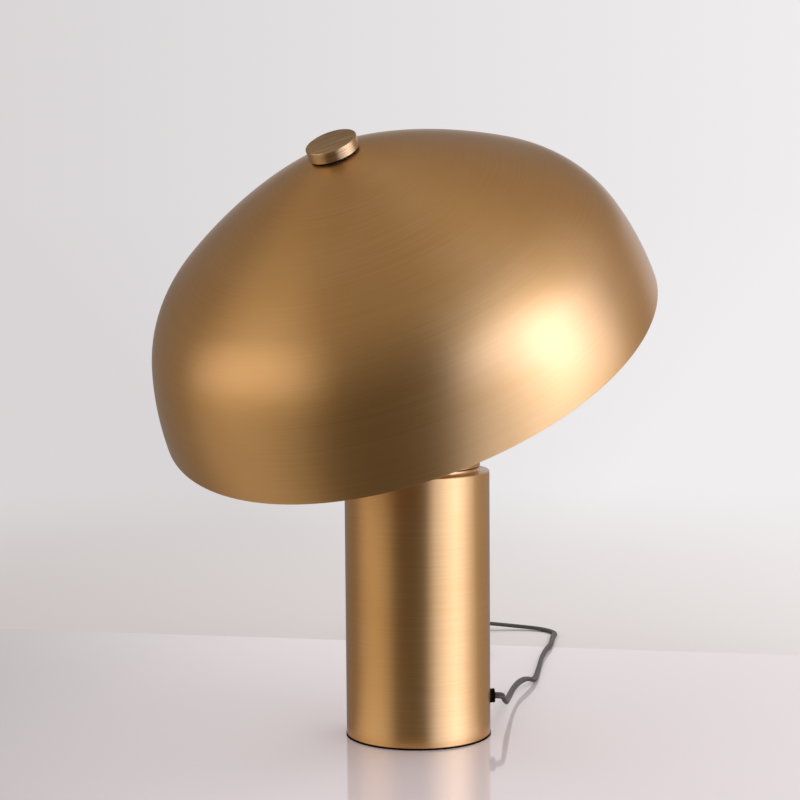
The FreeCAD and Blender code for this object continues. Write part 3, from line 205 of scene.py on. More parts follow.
def srgb(hex_colour):
    """A colour written as in a paint program, turned to the linear values that shaders use."""
    parts = [int(hex_colour[k:k + 2], 16) / 255 for k in (1, 3, 5)]
    linear = [p / 12.92 if p <= 0.04045 else ((p + 0.055) / 1.055) ** 2.4 for p in parts]
    return (*linear, 1.0)


def feed(tree, node, inputs):
    """Gives a node its inputs, as plain values or as other nodes' outputs."""
    for name, value in inputs.items():
        if isinstance(value, bpy.types.NodeSocket):
            tree.links.new(value, node.inputs[name])
        else:
            node.inputs[name].default_value = value


def add_node(tree, kind, settings, inputs):
    node = tree.nodes.new(kind)
    for name, value in settings.items():
        setattr(node, name, value)
    feed(tree, node, inputs)
    return node


def new_finish(name):
    """An empty material, its node tree and its shader."""
    material = bpy.data.materials.new(name)
    material.use_nodes = True
    tree = material.node_tree
    tree.nodes.clear()
    shader = add_node(tree, "ShaderNodeBsdfPrincipled", {}, {})
    add_node(tree, "ShaderNodeOutputMaterial", {}, {"Surface": shader.outputs[0]})
    return material, tree, shader


PIVOT_Z = 249.6 * MM
REST_TILT = 29.5
BRASS_TONES = ("#E1A254", "#EBB068")
KNOB_TONES = ("#AC7440", "#FACA86")
BRASS_EDGE_TINT = "#CBC7C4"
# Brushed lines are drawn far coarser than real ones, so that they show at this size
RING_LINE_MM = 0.909
TOP_LINE_MM = 1.6
TOP_LINE_L_MM = 25.0
LINE_DEPTH_MM = 0.2
# The lacquer lies in faint clouds of this size
LACQUER_CLOUD_MM = 71.4
BRUSHED_NOISE = {"Scale": 1.0, "Detail": 3.0, "Roughness": 0.6}
# The sums of lines and clouds at which the darker and the lighter tone are reached
TONE_ENDS = (0.7, 1.3)
# How squarely a face looks along the axis where straight brushing starts and where it is full, as cosines
TOP_FACING = (0.85, 0.98)
# About as long as the rings' own tangent at the knob's edge, so that the two blend evenly
TOP_TANGENT_MM = 10.0
# Noise keeps to about this stretch, over which roughness varies by this much either way
NOISE_ENDS = (0.3, 0.7)
BRUSHED_SPREAD = 0.02
GRAIN_SPREAD = 0.06


def ringed(tree, local):
    """Fine rings round a piece's upright axis, from 0 to 1."""
    parts = add_node(tree, "ShaderNodeSeparateXYZ", {}, {"Vector": local})
    flat = add_node(
        tree, "ShaderNodeCombineXYZ", {}, {"X": parts.outputs["X"], "Y": parts.outputs["Y"]}).outputs[0]
    radius = add_node(tree, "ShaderNodeVectorMath", {"operation": "LENGTH"}, {0: flat}).outputs["Value"]
    spoke = add_node(tree, "ShaderNodeVectorMath", {"operation": "NORMALIZE"}, {0: flat}).outputs[0]
    along = add_node(
        tree, "ShaderNodeMath", {"operation": "SUBTRACT"}, {0: radius, 1: parts.outputs["Z"]}).outputs[0]
    ring_count = add_node(
        tree, "ShaderNodeMath", {"operation": "DIVIDE"}, {0: along, 1: RING_LINE_MM * MM}).outputs[0]
    spoke_parts = add_node(tree, "ShaderNodeSeparateXYZ", {}, {"Vector": spoke})
    ring_place = add_node(
        tree, "ShaderNodeCombineXYZ", {},
        {"X": spoke_parts.outputs["X"], "Y": spoke_parts.outputs["Y"], "Z": ring_count}).outputs[0]
    return add_node(tree, "ShaderNodeTexNoise", {}, {"Vector": ring_place, **BRUSHED_NOISE}).outputs["Fac"]


def straight_lined(tree, local, angle):
    """Straight brushed lines across a flat top, from 0 to 1."""
    line_place = add_node(
        tree, "ShaderNodeMapping", {"vector_type": "TEXTURE"},
        {"Vector": local, "Rotation": (0, 0, math.radians(angle)),
         "Scale": (TOP_LINE_L_MM * MM, TOP_LINE_MM * MM, TOP_LINE_L_MM * MM)}).outputs[0]
    return add_node(tree, "ShaderNodeTexNoise", {}, {"Vector": line_place, **BRUSHED_NOISE}).outputs["Fac"]


def spun_brass(name, axis_point, tilt, roughness=0.36, tones=BRASS_TONES, straight_top=None):
    """Satin brass, brushed while it turned on a lathe and lacquered: fine rings round the axis, so
    that highlights spread along the profile, under a thin clear coat that pales at the edges."""
    material, tree, shader = new_finish(name)
    place = add_node(tree, "ShaderNodeTexCoord", {}, {}).outputs["Object"]
    local = add_node(
        tree, "ShaderNodeMapping", {"vector_type": "TEXTURE"},
        {"Vector": place, "Location": axis_point, "Rotation": (math.radians(tilt), 0, 0)}).outputs[0]
    axis = Matrix.Rotation(math.radians(tilt), 3, "X") @ Vector((0, 0, 1))
    arm = add_node(
        tree, "ShaderNodeVectorMath", {"operation": "SUBTRACT"}, {0: place, 1: axis_point}).outputs[0]
    around = add_node(
        tree, "ShaderNodeVectorMath", {"operation": "CROSS_PRODUCT"}, {0: axis, 1: arm}).outputs[0]
    brushing = ringed(tree, local)
    tangent = around
    if straight_top is not None:
        line_way = Matrix.Rotation(math.radians(tilt), 3, "X") @ plan_way(straight_top)
        normal = add_node(tree, "ShaderNodeTexCoord", {}, {}).outputs["Normal"]
        facing = add_node(
            tree, "ShaderNodeVectorMath", {"operation": "DOT_PRODUCT"},
            {0: normal, 1: axis}).outputs["Value"]
        on_top = add_node(
            tree, "ShaderNodeMapRange", {"interpolation_type": "SMOOTHSTEP"},
            {"Value": facing, "From Min": TOP_FACING[0], "From Max": TOP_FACING[1]}).outputs[0]
        brushing = add_node(
            tree, "ShaderNodeMix", {"data_type": "FLOAT"},
            {0: on_top, 2: brushing, 3: straight_lined(tree, local, straight_top)}).outputs[0]
        tangent = add_node(
            tree, "ShaderNodeMix", {"data_type": "VECTOR"},
            {0: on_top, 4: around, 5: line_way * TOP_TANGENT_MM * MM}).outputs[1]
    clouds = add_node(
        tree, "ShaderNodeTexNoise", {},
        {"Vector": local, "Scale": 1 / (LACQUER_CLOUD_MM * MM), "Detail": 2.0,
         "Roughness": 0.5}).outputs["Fac"]
    tone = add_node(tree, "ShaderNodeMath", {"operation": "ADD"}, {0: brushing, 1: clouds}).outputs[0]
    blend = add_node(
        tree, "ShaderNodeMapRange", {},
        {"Value": tone, "From Min": TONE_ENDS[0], "From Max": TONE_ENDS[1]}).outputs[0]
    colour = add_node(
        tree, "ShaderNodeMix", {"data_type": "RGBA"},
        {0: blend, 6: srgb(tones[0]), 7: srgb(tones[1])}).outputs[2]
    rough = add_node(
        tree, "ShaderNodeMapRange", {},
        {"Value": brushing, "From Min": NOISE_ENDS[0], "From Max": NOISE_ENDS[1],
         "To Min": roughness - BRUSHED_SPREAD, "To Max": roughness + BRUSHED_SPREAD}).outputs[0]
    bump = add_node(
        tree, "ShaderNodeBump", {},
        {"Height": brushing, "Strength": 0.015, "Distance": LINE_DEPTH_MM * MM}).outputs[0]
    world_tangent = add_node(
        tree, "ShaderNodeVectorTransform",
        {"vector_type": "VECTOR", "convert_from": "OBJECT", "convert_to": "WORLD"},
        {"Vector": tangent}).outputs[0]
    feed(tree, shader, {
        "Base Color": colour, "Metallic": 1.0, "Roughness": rough, "Normal": bump,
        "Specular Tint": srgb(BRASS_EDGE_TINT), "Anisotropic": 0.7, "Anisotropic Rotation": 0.25,
        "Tangent": world_tangent, "Coat Weight": 0.65, "Coat Roughness": 0.25, "Coat IOR": 1.7})
    return material


def speckled(name, dark, light, grain_mm, roughness, bump_mm, metallic=0.0, coat=0.0, gloss=0.5):
    """A surface whose tone, roughness and height follow a fine grain, given by its spacing in mm."""
    material, tree, shader = new_finish(name)
    place = add_node(tree, "ShaderNodeTexCoord", {}, {}).outputs["Object"]
    grain = add_node(
        tree, "ShaderNodeTexNoise", {},
        {"Vector": place, "Scale": 1 / (grain_mm * MM), "Detail": 3.0}).outputs["Fac"]
    colour = add_node(
        tree, "ShaderNodeMix", {"data_type": "RGBA"}, {0: grain, 6: srgb(dark), 7: srgb(light)}).outputs[2]
    rough = add_node(
        tree, "ShaderNodeMapRange", {},
        {"Value": grain, "From Min": NOISE_ENDS[0], "From Max": NOISE_ENDS[1],
         "To Min": roughness - GRAIN_SPREAD, "To Max": roughness + GRAIN_SPREAD}).outputs[0]
    bump = add_node(
        tree, "ShaderNodeBump", {}, {"Height": grain, "Strength": 0.3, "Distance": bump_mm * MM}).outputs[0]
    feed(tree, shader, {
        "Base Color": colour, "Metallic": metallic, "Roughness": rough, "Normal": bump,
        "Coat Weight": coat, "Specular IOR Level": gloss})
    return material


PIN_SLEEVE_L = 10.0


def sleeved_pins():
    """Nickel plated pins, pale and bright, with a flush dull black sleeve next to the plug's body."""
    material, tree, shader = new_finish("nickel_pins_with_nylon_sleeves")
    pin_way = plan_way(PLUG_ANGLE)
    sleeve_end = (PLUG_PLACE + pin_way * (PLUG_L / 2 + PIN_SLEEVE_L)) * MM
    place = add_node(tree, "ShaderNodeTexCoord", {}, {}).outputs["Object"]
    along = add_node(
        tree, "ShaderNodeVectorMath", {"operation": "DOT_PRODUCT"}, {0: place, 1: pin_way}).outputs["Value"]
    bare = add_node(
        tree, "ShaderNodeMath", {"operation": "GREATER_THAN"},
        {0: along, 1: sleeve_end.dot(pin_way)}).outputs[0]
    colour = add_node(
        tree, "ShaderNodeMix", {"data_type": "RGBA"},
        {0: bare, 6: srgb("#161617"), 7: srgb("#CFCBC1")}).outputs[2]
    rough = add_node(
        tree, "ShaderNodeMapRange", {}, {"Value": bare, "To Min": 0.5, "To Max": 0.2}).outputs[0]
    feed(tree, shader, {"Base Color": colour, "Metallic": bare, "Roughness": rough})
    return material


base_brass = spun_brass("satin_spun_brass_base", (0, 0, 0), 0, roughness=0.37)
shade_brass = spun_brass("satin_spun_brass_shade", (0, 0, PIVOT_Z), REST_TILT)
# The knob's top is brushed in straight lines, its side in rings
knob_brass = spun_brass(
    "satin_brushed_brass_knob", (0, 0, PIVOT_Z), REST_TILT, roughness=0.3, tones=KNOB_TONES,
    straight_top=43.3)
BRASS_BY_BODY = {"base": base_brass, "head": base_brass, "shade": shade_brass, "knob": knob_brass}

FINISHES = {
    # Zinc plating: pale grey with a faint cloudy spangle
    "zinc_steel": speckled(
        "zinc_plated_steel", "#9C9C98", "#C4C4BE", 1.5, roughness=0.38, bump_mm=0.02, metallic=1.0),
    # Sand cast iron under black paint: a coarse, dull skin
    "cast_iron": speckled("painted_cast_iron", "#16171A", "#26272A", 1.2, roughness=0.6, bump_mm=0.4),
    # Rubber: near black and without any shine
    "black_rubber": speckled(
        "moulded_black_rubber", "#150D07", "#21160D", 0.6, roughness=0.9, bump_mm=0.05, gloss=0.0),
    # Nylon: black, with a slight dull sheen
    "black_nylon": speckled(
        "moulded_black_nylon", "#140F0A", "#201A14", 0.6, roughness=0.6, bump_mm=0.03, gloss=0.15),
    # Natural nylon: milky white, with a soft shine
    "white_nylon": speckled("moulded_white_nylon", "#D8D6CC", "#E6E4DC", 0.8, roughness=0.45, bump_mm=0.03),
    # PVC flex: warm dark grey with a soft shine along its ridges
    "grey_flex": speckled(
        "grey_pvc_flex", "#3E3A36", "#554F49", 0.9, roughness=0.5, bump_mm=0.04, gloss=0.3),
    # ABS: even mid grey with a fine moulded grain
    "grey_plastic": speckled("moulded_grey_abs", "#54514E", "#625F5B", 0.5, roughness=0.42, bump_mm=0.03),
    "nickel_pins": sleeved_pins(),
    # Glass fibre sleeve: pale, woven and dull
    "wire_sleeve": speckled("glass_fibre_sleeve", "#C9C4B4", "#E4E0D4", 0.5, roughness=0.75, bump_mm=0.1),
    # Phenolic resin: black with a hard moulded gloss
    "phenolic": speckled(
        "moulded_black_phenolic", "#0F0E0E", "#1C1A1A", 0.7, roughness=0.28, bump_mm=0.02, coat=0.3),
    # Glazed ceramic: cream white and shiny
    "ceramic": speckled(
        "glazed_ceramic", "#E2DED2", "#F0EDE4", 1.5, roughness=0.2, bump_mm=0.03, coat=0.5),
    # Nickel plating: a warm pale metal with sharp highlights
    "nickel_cap": speckled(
        "nickel_plated_brass", "#BDB9AE", "#D6D2C8", 2.0, roughness=0.18, bump_mm=0.01, metallic=1.0),
    # Opal glass: milky white under a glossy skin
    "opal_glass": speckled("opal_glass", "#EDEBE2", "#F5F4EE", 6.0, roughness=0.12, bump_mm=0.01, coat=0.6)}

bodies_of = {
    name: body for body, members in frame["record"]["behaviour"]["bodies"].items() for name in members}
slots_of = {piece["node"]: piece["material_slot"] for piece in frame["record"]["subparts"]}


def finish_of(name):
    return BRASS_BY_BODY[bodies_of[name]] if slots_of[name] == "satin_brass" else FINISHES[slots_of[name]]


def dress(piece, material):
    piece.data.materials.clear()
    piece.data.materials.append(material)


for name in slots_of:
    dress(nodes[name], finish_of(name))
for flex in (lead, rest_of_lead):
    dress(flex, FINISHES["grey_flex"])

# Turned pieces, smooth all round

SHADE_RIM = (175.4, 19.4)
RIM_SLOPE = 87.2
# Each arc of the dome's profile: its radius, the slope that it ends at and its number of steps
SHADE_ARCS = [(197.0, 71.9, 20), (89.0, 35.7, 26), (390.0, 16.131, 30)]
SHADE_BORE_R = 5.2
SHADE_WALL = 1.0
RIM_EASE = 0.3
# The two corners of the rim are the only edges beyond this radius that turn by more than this angle
RIM_BAND_R = 172.0
RIM_CORNER_ANGLE = 60.0
TURN_STEPS = 160
MERGE_DISTANCE = 0.005
SHARP_ANGLE = 30.0
EVEN_WEIGHT = 80


def stand_for(name, form, node):
    """Makes the piece that stands for a CAD node, in the node's finish and on its body."""
    mesh = bpy.data.meshes.new(name)
    form.to_mesh(mesh)
    form.free()
    mesh.polygons.foreach_set("use_smooth", [True] * len(mesh.polygons))
    mesh.set_sharp_from_angle(angle=math.radians(SHARP_ANGLE))
    piece = bpy.data.objects.new(name, mesh)
    scene.collection.objects.link(piece)
    # Large faces set the shading, so that a small round at an edge leaves the wall beside it even
    even = piece.modifiers.new("even_shading", "WEIGHTED_NORMAL")
    even.weight = EVEN_WEIGHT
    even.keep_sharp = True
    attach(piece, bodies_of[node])
    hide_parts(node)
    dress(piece, finish_of(node))


def merged_form(node):
    form = bmesh.new()
    form.from_mesh(nodes[node].data)
    bmesh.ops.remove_doubles(form, verts=form.verts, dist=MERGE_DISTANCE * MM)
    return form


def spun_shade():
    """The dome: three arcs from rim to crown and the flat seat under the knob, spun and given its wall."""
    form = bmesh.new()
    place = Vector((SHADE_RIM[0], 0, SHADE_RIM[1])) * MM
    last = form.verts.new(place)
    slope = RIM_SLOPE
    for radius, next_slope, steps in SHADE_ARCS:
        arm = Vector((math.sin(math.radians(slope)), 0, math.cos(math.radians(slope))))
        centre = last.co - arm * radius * MM
        arc = bmesh.ops.spin(
            form, geom=[last], cent=centre, axis=(0, 1, 0), steps=steps,
            angle=math.radians(next_slope - slope))
        last = next(item for item in arc["geom_last"] if isinstance(item, bmesh.types.BMVert))
        slope = next_slope
    bore = form.verts.new((SHADE_BORE_R * MM, 0, last.co.z))
    form.edges.new((last, bore))
    bmesh.ops.spin(
        form, geom=form.verts[:] + form.edges[:], cent=(0, 0, 0), axis=(0, 0, 1), steps=TURN_STEPS,
        angle=2 * math.pi, use_merge=True)
    bmesh.ops.recalc_face_normals(form, faces=form.faces)
    bmesh.ops.solidify(form, geom=form.faces[:], thickness=SHADE_WALL * MM)
    rim = [
        edge for edge in form.edges
        if edge.verts[0].co.to_2d().length > RIM_BAND_R * MM
        and edge.calc_face_angle(0) > math.radians(RIM_CORNER_ANGLE)]
    bmesh.ops.bevel(
        form, geom=rim, offset=RIM_EASE * MM, segments=3, profile=0.5, affect="EDGES", material=-1)
    tilt = Matrix.Translation((0, 0, PIVOT_Z)) @ turn_about("X", REST_TILT)
    bmesh.ops.transform(form, matrix=tilt, verts=form.verts)
    return form


stand_for("spun_dome", spun_shade(), "shade")
for node in ("base_shell", "swivel_plate", "crown_knob"):
    stand_for("smooth_" + node, merged_form(node), node)

# Studio, in metres

# Painted shade across the view, darker at its left and lighter at its right: where each end is, and the two
# colours
TABLE_SHADE_ACROSS = (-0.34, -0.06, "#BDB8BA", "#D5CCCE")
PAPER_SHADE_ACROSS = (-0.4, 0.4, "#BAB5B3", "#D6D2D1")
BACKGROUND_SHADE_ACROSS = (-0.19, 0.19, "#D9D5D6", "#F0EEEF")
TABLE_EDGE = (Vector((-0.5193, 0.0813, 0)), Vector((0.0948, 0.3848, 0)))
FLOOR_R = 40.0
FLOOR_STEPS = 96
FADE_START = 0.5
FADE_END = 1.4


def painted_shade_across(tree, place, left_end, right_end, left, right):
    """A colour with painted shade across it, changing from the left of the view to its right."""
    side = add_node(
        tree, "ShaderNodeVectorMath", {"operation": "DOT_PRODUCT"},
        {0: place, 1: level_way(90)}).outputs["Value"]
    share = add_node(
        tree, "ShaderNodeMapRange", {},
        {"Value": side, "From Min": left_end, "From Max": right_end}).outputs[0]
    return add_node(
        tree, "ShaderNodeMix", {"data_type": "RGBA"}, {0: share, 6: srgb(left), 7: srgb(right)}).outputs[2]


def floor_finish(name, tones, roughness, gloss):
    """A floor finish with painted shade across it, darker on the left. Further from the lamp it turns into
    the plain background, without an edge.
    """
    material, tree, shader = new_finish(name)
    place = add_node(tree, "ShaderNodeTexCoord", {}, {}).outputs["Object"]
    feed(tree, shader, {
        "Base Color": painted_shade_across(tree, place, *tones), "Roughness": roughness,
        "Specular IOR Level": gloss})
    reach = add_node(tree, "ShaderNodeVectorMath", {"operation": "LENGTH"}, {0: place}).outputs["Value"]
    share = add_node(
        tree, "ShaderNodeMapRange", {"interpolation_type": "SMOOTHSTEP"},
        {"Value": reach, "From Min": FADE_START, "From Max": FADE_END}).outputs[0]
    way = add_node(tree, "ShaderNodeVectorMath", {"operation": "NORMALIZE"}, {0: place}).outputs[0]
    # The background's painted shade, darker on the left and lighter on the right
    background = painted_shade_across(tree, way, *BACKGROUND_SHADE_ACROSS)
    plain = add_node(tree, "ShaderNodeEmission", {}, {"Color": background, "Strength": 1.0}).outputs[0]
    mix = add_node(tree, "ShaderNodeMixShader", {}, {0: share, 1: shader.outputs[0], 2: plain})
    output = next(node for node in tree.nodes if node.type == "OUTPUT_MATERIAL")
    feed(tree, output, {"Surface": mix.outputs[0]})
    material.cycles.emission_sampling = "NONE"
    return material


def make_studio_floor():
    """A pale glossy table top that ends behind the lamp, and a matt pale floor beyond it."""
    form = bmesh.new()
    bmesh.ops.create_circle(form, cap_ends=True, segments=FLOOR_STEPS, radius=FLOOR_R)
    edge_way = (TABLE_EDGE[1] - TABLE_EDGE[0]).normalized()
    behind = Vector((-edge_way.y, edge_way.x, 0))
    everything = form.verts[:] + form.edges[:] + form.faces[:]
    bmesh.ops.bisect_plane(form, geom=everything, plane_co=TABLE_EDGE[0], plane_no=behind)
    for face in form.faces:
        if (face.calc_center_median() - TABLE_EDGE[0]).dot(behind) > 0:
            face.material_index = 1
    mesh = bpy.data.meshes.new("studio_floor")
    form.to_mesh(mesh)
    form.free()
    # White lacquered board mirrors the lamp softly; the paper beyond it is matt
    # Both finishes carry painted shade, darker on the left of the view
    mesh.materials.append(floor_finish("white_lacquered_board", TABLE_SHADE_ACROSS, roughness=0.06, gloss=0.5))
    mesh.materials.append(floor_finish("matt_background_paper", PAPER_SHADE_ACROSS, roughness=0.9, gloss=0.2))
    floor = bpy.data.objects.new("studio_floor", mesh)
    scene.collection.objects.link(floor)


def make_world():
    world = bpy.data.worlds.new("pale_background")
    scene.world = world
    world.use_nodes = True
    tree = world.node_tree
    tree.nodes.clear()
    way = add_node(tree, "ShaderNodeTexCoord", {}, {}).outputs["Generated"]
    # The background's painted shade, darker on the left and lighter on the right
    colour = painted_shade_across(tree, way, *BACKGROUND_SHADE_ACROSS)
    world.cycles.sampling_method = "NONE"
    background = add_node(tree, "ShaderNodeBackground", {}, {"Color": colour, "Strength": 1.0})
    add_node(tree, "ShaderNodeOutputWorld", {}, {"Surface": background.outputs[0]})


make_studio_floor()
make_world()

# Flags round the table, in metres

FLAG_R = 3.3
FLAG_STEPS = 72
RING_R = 0.057
RING_LIFT = 0.002
# Behind the lamp the flags stand apart, with soft edges, and the background shows between them
OPENING_MIDDLE = 166.0
OPENING_HALF = 28.0
OPENING_FADE = 10.0
OPENING_TOP = 1.15
OPENING_TOP_FADE = 0.3
# The reflections in the round base seem to come from a point in front of its axis, at this distance
FOCUS_R = 0.03
# A place on the ring shows what lies this far above it, or less near the lamp
MIRROR_LIFT = 0.1
MIRROR_SLOPE = 0.333
# The lights' share on the ring next to the lamp, and the reach over which it falls to the mirrored share
NEAR_SHARE = 0.5
NEAR_START = 0.06
NEAR_END = 0.3
# The lights on the flags grow to their full strength up to this height
FLAG_BLEND_H = 0.25
# The cloth's painted glow behind the camera and at the sides, the cosines between which it changes, and its
# shares on the left and the right
CLOTH_FRONT = 0.11
CLOTH_SIDES = 0.34
CLOTH_FADE_START = 0.95
CLOTH_FADE_END = 0.1
CLOTH_LEFT_SHARE = 0.75
CLOTH_RIGHT_SHARE = 1.25
# Colours of light, in linear values
COOL_WHITE = (0.85, 1.08, 1.8, 1.0)
WARM_WHITE = (1.0, 0.95, 0.88, 1.0)
NEUTRAL_WHITE = (1.0, 1.03, 1.08, 1.0)
# Each soft light on the flags: its angle, its rise, the cosine at which it has faded out, its strength,
# the share of it that the table mirrors, and its colour
GLOWS = [
    (50.0, 10.0, 0.80, 1.75, 0.42, COOL_WHITE), (74.0, 9.0, 0.84, 1.25, 0.36, COOL_WHITE),
    (60.0, 28.0, 0.55, 0.36, 0.3, COOL_WHITE), (-73.0, 6.0, 0.74, 0.84, 0.22, NEUTRAL_WHITE),
    (-36.0, 42.0, 0.72, 0.11, 0.0, NEUTRAL_WHITE)]


def flag_form():
    """The upper half of a sphere, facing inwards. Close above the table, a ring that faces up stands
    for the flags' mirror image in it."""
    form = bmesh.new()
    bmesh.ops.create_uvsphere(form, u_segments=FLAG_STEPS, v_segments=FLAG_STEPS // 2, radius=FLAG_R)
    low = [face for face in form.faces if face.calc_center_median().z < 0]
    bmesh.ops.delete(form, geom=low, context="FACES")
    bmesh.ops.reverse_faces(form, faces=form.faces[:])
    inner = bmesh.ops.create_circle(
        form, segments=FLAG_STEPS, radius=RING_R, matrix=Matrix.Translation((0, 0, RING_LIFT)))
    edges = list({edge for vert in inner["verts"] for edge in vert.link_edges})
    extruded = bmesh.ops.extrude_edge_only(form, edges=edges)["geom"]
    outer = [item for item in extruded if isinstance(item, bmesh.types.BMVert)]
    bmesh.ops.scale(form, verts=outer, vec=(FLAG_R / RING_R, FLAG_R / RING_R, 1))
    for face in form.faces:
        if face.calc_center_median().z < 2 * RING_LIFT and face.normal.z < 0:
            face.normal_flip()
    return form


def opening_share(tree, place):
    """Where the flags are open: 1 in the middle of the opening, 0 beside and above it and on the ring."""
    parts = add_node(tree, "ShaderNodeSeparateXYZ", {}, {"Vector": place})
    height = parts.outputs["Z"]
    flat = add_node(
        tree, "ShaderNodeCombineXYZ", {}, {"X": parts.outputs["X"], "Y": parts.outputs["Y"]}).outputs[0]
    level_place = add_node(tree, "ShaderNodeVectorMath", {"operation": "NORMALIZE"}, {0: flat}).outputs[0]
    behind = add_node(
        tree, "ShaderNodeVectorMath", {"operation": "DOT_PRODUCT"},
        {0: level_place, 1: level_way(OPENING_MIDDLE)}).outputs["Value"]
    between = add_node(
        tree, "ShaderNodeMapRange", {"interpolation_type": "SMOOTHSTEP"},
        {"Value": behind, "From Min": math.cos(math.radians(OPENING_HALF + OPENING_FADE)),
         "From Max": math.cos(math.radians(OPENING_HALF - OPENING_FADE))}).outputs[0]
    low_enough = add_node(
        tree, "ShaderNodeMapRange", {"interpolation_type": "SMOOTHSTEP"},
        {"Value": height, "From Min": OPENING_TOP + OPENING_TOP_FADE,
         "From Max": OPENING_TOP - OPENING_TOP_FADE}).outputs[0]
    above_ring = add_node(
        tree, "ShaderNodeMath", {"operation": "GREATER_THAN"}, {0: height, 1: 2 * RING_LIFT}).outputs[0]
    opening = add_node(
        tree, "ShaderNodeMath", {"operation": "MULTIPLY"}, {0: between, 1: low_enough}).outputs[0]
    return add_node(
        tree, "ShaderNodeMath", {"operation": "MULTIPLY"}, {0: opening, 1: above_ring}).outputs[0]


def cloth_light(tree, way):
    """The cloth's painted glow, which stands for its grey when lit: darkest behind the camera, and a little
    lighter on the right.
    """
    front = add_node(
        tree, "ShaderNodeVectorMath", {"operation": "DOT_PRODUCT"}, {0: way, 1: level_way(0)})
    right = add_node(
        tree, "ShaderNodeVectorMath", {"operation": "DOT_PRODUCT"}, {0: way, 1: level_way(90)})
    level = add_node(
        tree, "ShaderNodeMapRange", {"interpolation_type": "SMOOTHSTEP"},
        {"Value": front.outputs["Value"], "From Min": CLOTH_FADE_START, "From Max": CLOTH_FADE_END,
         "To Min": CLOTH_FRONT, "To Max": CLOTH_SIDES}).outputs[0]
    side = add_node(
        tree, "ShaderNodeMapRange", {},
        {"Value": right.outputs["Value"], "From Min": -1.0, "From Max": 1.0,
         "To Min": CLOTH_LEFT_SHARE, "To Max": CLOTH_RIGHT_SHARE}).outputs[0]
    strength = add_node(tree, "ShaderNodeMath", {"operation": "MULTIPLY"}, {0: level, 1: side}).outputs[0]
    return add_node(tree, "ShaderNodeEmission", {}, {"Color": WARM_WHITE, "Strength": strength})


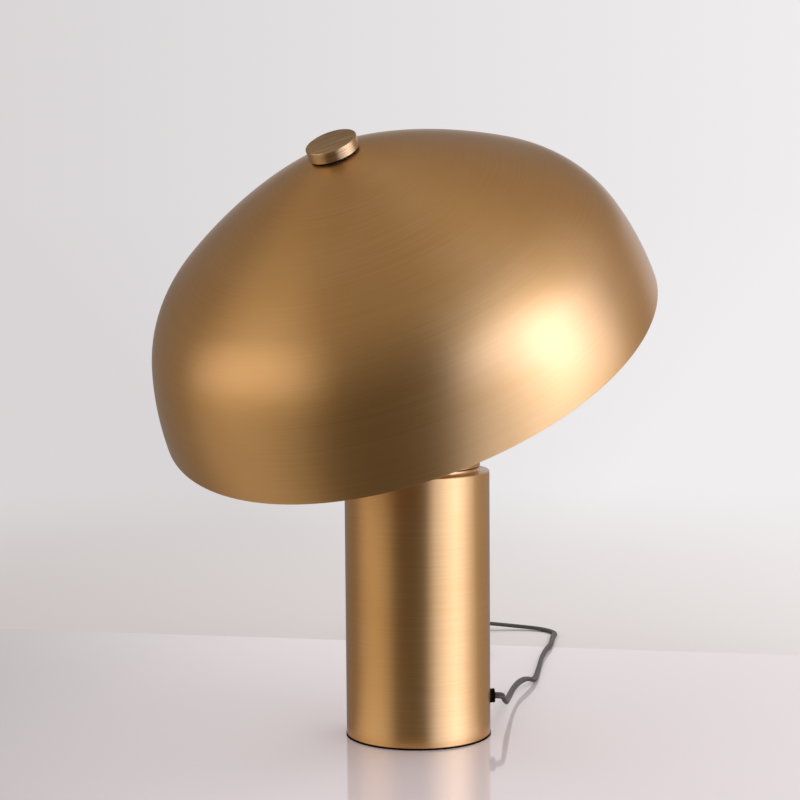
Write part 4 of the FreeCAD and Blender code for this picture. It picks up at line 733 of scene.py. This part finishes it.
def flag_cloth():
    """Grey cloth that glows with painted light, with soft lights on it. It lets light through at the
    opening and from its back.
    """
    material = bpy.data.materials.new("grey_flag_cloth")
    material.use_nodes = True
    tree = material.node_tree
    tree.nodes.clear()
    place = add_node(tree, "ShaderNodeTexCoord", {}, {}).outputs["Object"]
    height = add_node(tree, "ShaderNodeSeparateXYZ", {}, {"Vector": place}).outputs["Z"]
    shifted = add_node(
        tree, "ShaderNodeVectorMath", {"operation": "SUBTRACT"},
        {0: place, 1: level_way(0) * FOCUS_R}).outputs[0]
    reach = add_node(tree, "ShaderNodeVectorMath", {"operation": "LENGTH"}, {0: shifted}).outputs["Value"]
    near_lift = add_node(
        tree, "ShaderNodeMath", {"operation": "MULTIPLY"}, {0: reach, 1: MIRROR_SLOPE}).outputs[0]
    lift = add_node(
        tree, "ShaderNodeMath", {"operation": "MINIMUM"}, {0: near_lift, 1: MIRROR_LIFT}).outputs[0]
    upwards = add_node(tree, "ShaderNodeCombineXYZ", {}, {"Z": lift}).outputs[0]
    lifted = add_node(
        tree, "ShaderNodeVectorMath", {"operation": "ADD"}, {0: shifted, 1: upwards}).outputs[0]
    way = add_node(tree, "ShaderNodeVectorMath", {"operation": "NORMALIZE"}, {0: lifted}).outputs[0]
    light = cloth_light(tree, way)
    for angle, rise, rim, most, mirrored, colour in GLOWS:
        spill = add_node(
            tree, "ShaderNodeVectorMath", {"operation": "DOT_PRODUCT"}, {0: way, 1: aimed_way(angle, rise)})
        share = add_node(
            tree, "ShaderNodeMapRange", {"interpolation_type": "SMOOTHSTEP"},
            {"Value": spill.outputs["Value"], "From Min": rim, "From Max": 1.0,
             "To Min": 0.0, "To Max": most}).outputs[0]
        on_flags = add_node(
            tree, "ShaderNodeMapRange", {"interpolation_type": "SMOOTHSTEP"},
            {"Value": height, "From Min": 0.0, "From Max": FLAG_BLEND_H, "To Min": mirrored}).outputs[0]
        near = add_node(
            tree, "ShaderNodeMapRange", {"interpolation_type": "SMOOTHSTEP"},
            {"Value": reach, "From Min": NEAR_START, "From Max": NEAR_END, "To Min": NEAR_SHARE,
             "To Max": mirrored}).outputs[0]
        seen = add_node(tree, "ShaderNodeMath", {"operation": "MAXIMUM"}, {0: on_flags, 1: near}).outputs[0]
        share = add_node(tree, "ShaderNodeMath", {"operation": "MULTIPLY"}, {0: share, 1: seen}).outputs[0]
        glow = add_node(tree, "ShaderNodeEmission", {}, {"Color": colour, "Strength": share})
        light = add_node(tree, "ShaderNodeAddShader", {}, {0: light.outputs[0], 1: glow.outputs[0]})
    from_back = add_node(tree, "ShaderNodeNewGeometry", {}, {}).outputs["Backfacing"]
    open_share = add_node(
        tree, "ShaderNodeMath", {"operation": "MAXIMUM"},
        {0: opening_share(tree, place), 1: from_back}).outputs[0]
    clear = add_node(tree, "ShaderNodeBsdfTransparent", {}, {}).outputs[0]
    one_sided = add_node(tree, "ShaderNodeMixShader", {}, {0: open_share, 1: light.outputs[0], 2: clear})
    add_node(tree, "ShaderNodeOutputMaterial", {}, {"Surface": one_sided.outputs[0]})
    material.cycles.emission_sampling = "NONE"
    return material


def make_flags():
    """Flags for the brass, glass and gloss to reflect. All else sees the plain background."""
    mesh = bpy.data.meshes.new("studio_flags")
    form = flag_form()
    form.to_mesh(mesh)
    form.free()
    mesh.materials.append(flag_cloth())
    flags = bpy.data.objects.new("studio_flags", mesh)
    scene.collection.objects.link(flags)
    flags.visible_camera = False
    flags.visible_diffuse = False
    flags.visible_shadow = False


make_flags()

TABLE_LIGHT_SIZE = 1.6
TABLE_LIGHT_RISE = 42.0
TABLE_LIGHT_DISTANCE = 2.2
TABLE_LIGHT_AIM = Vector((0, 0, 0.25))
TABLE_LIGHT_COLOUR = (1.0, 0.99, 0.985)


def table_light(name, angle, radiance):
    """A plain area lamp that lights the table and the matt pieces; the brass has the flags instead."""
    data = bpy.data.lights.new(name, "AREA")
    data.shape = "RECTANGLE"
    data.size = TABLE_LIGHT_SIZE
    data.size_y = TABLE_LIGHT_SIZE
    data.energy = radiance * math.pi * TABLE_LIGHT_SIZE ** 2
    data.color = TABLE_LIGHT_COLOUR
    lamp = bpy.data.objects.new(name, data)
    scene.collection.objects.link(lamp)
    way = aimed_way(angle, TABLE_LIGHT_RISE)
    turn = (way * -1).to_track_quat("-Z", "Y").to_matrix().to_4x4()
    lamp.matrix_world = Matrix.Translation(TABLE_LIGHT_AIM + way * TABLE_LIGHT_DISTANCE) @ turn
    lamp.visible_camera = False
    lamp.visible_glossy = False


table_light("table_light_front_right", 45, 1.5)
table_light("table_light_back_right", 135, 1.5)
table_light("table_light_back_left", 225, 1.2)
table_light("table_light_front_left", 315, 1.2)

scene.view_settings.view_transform = "Standard"
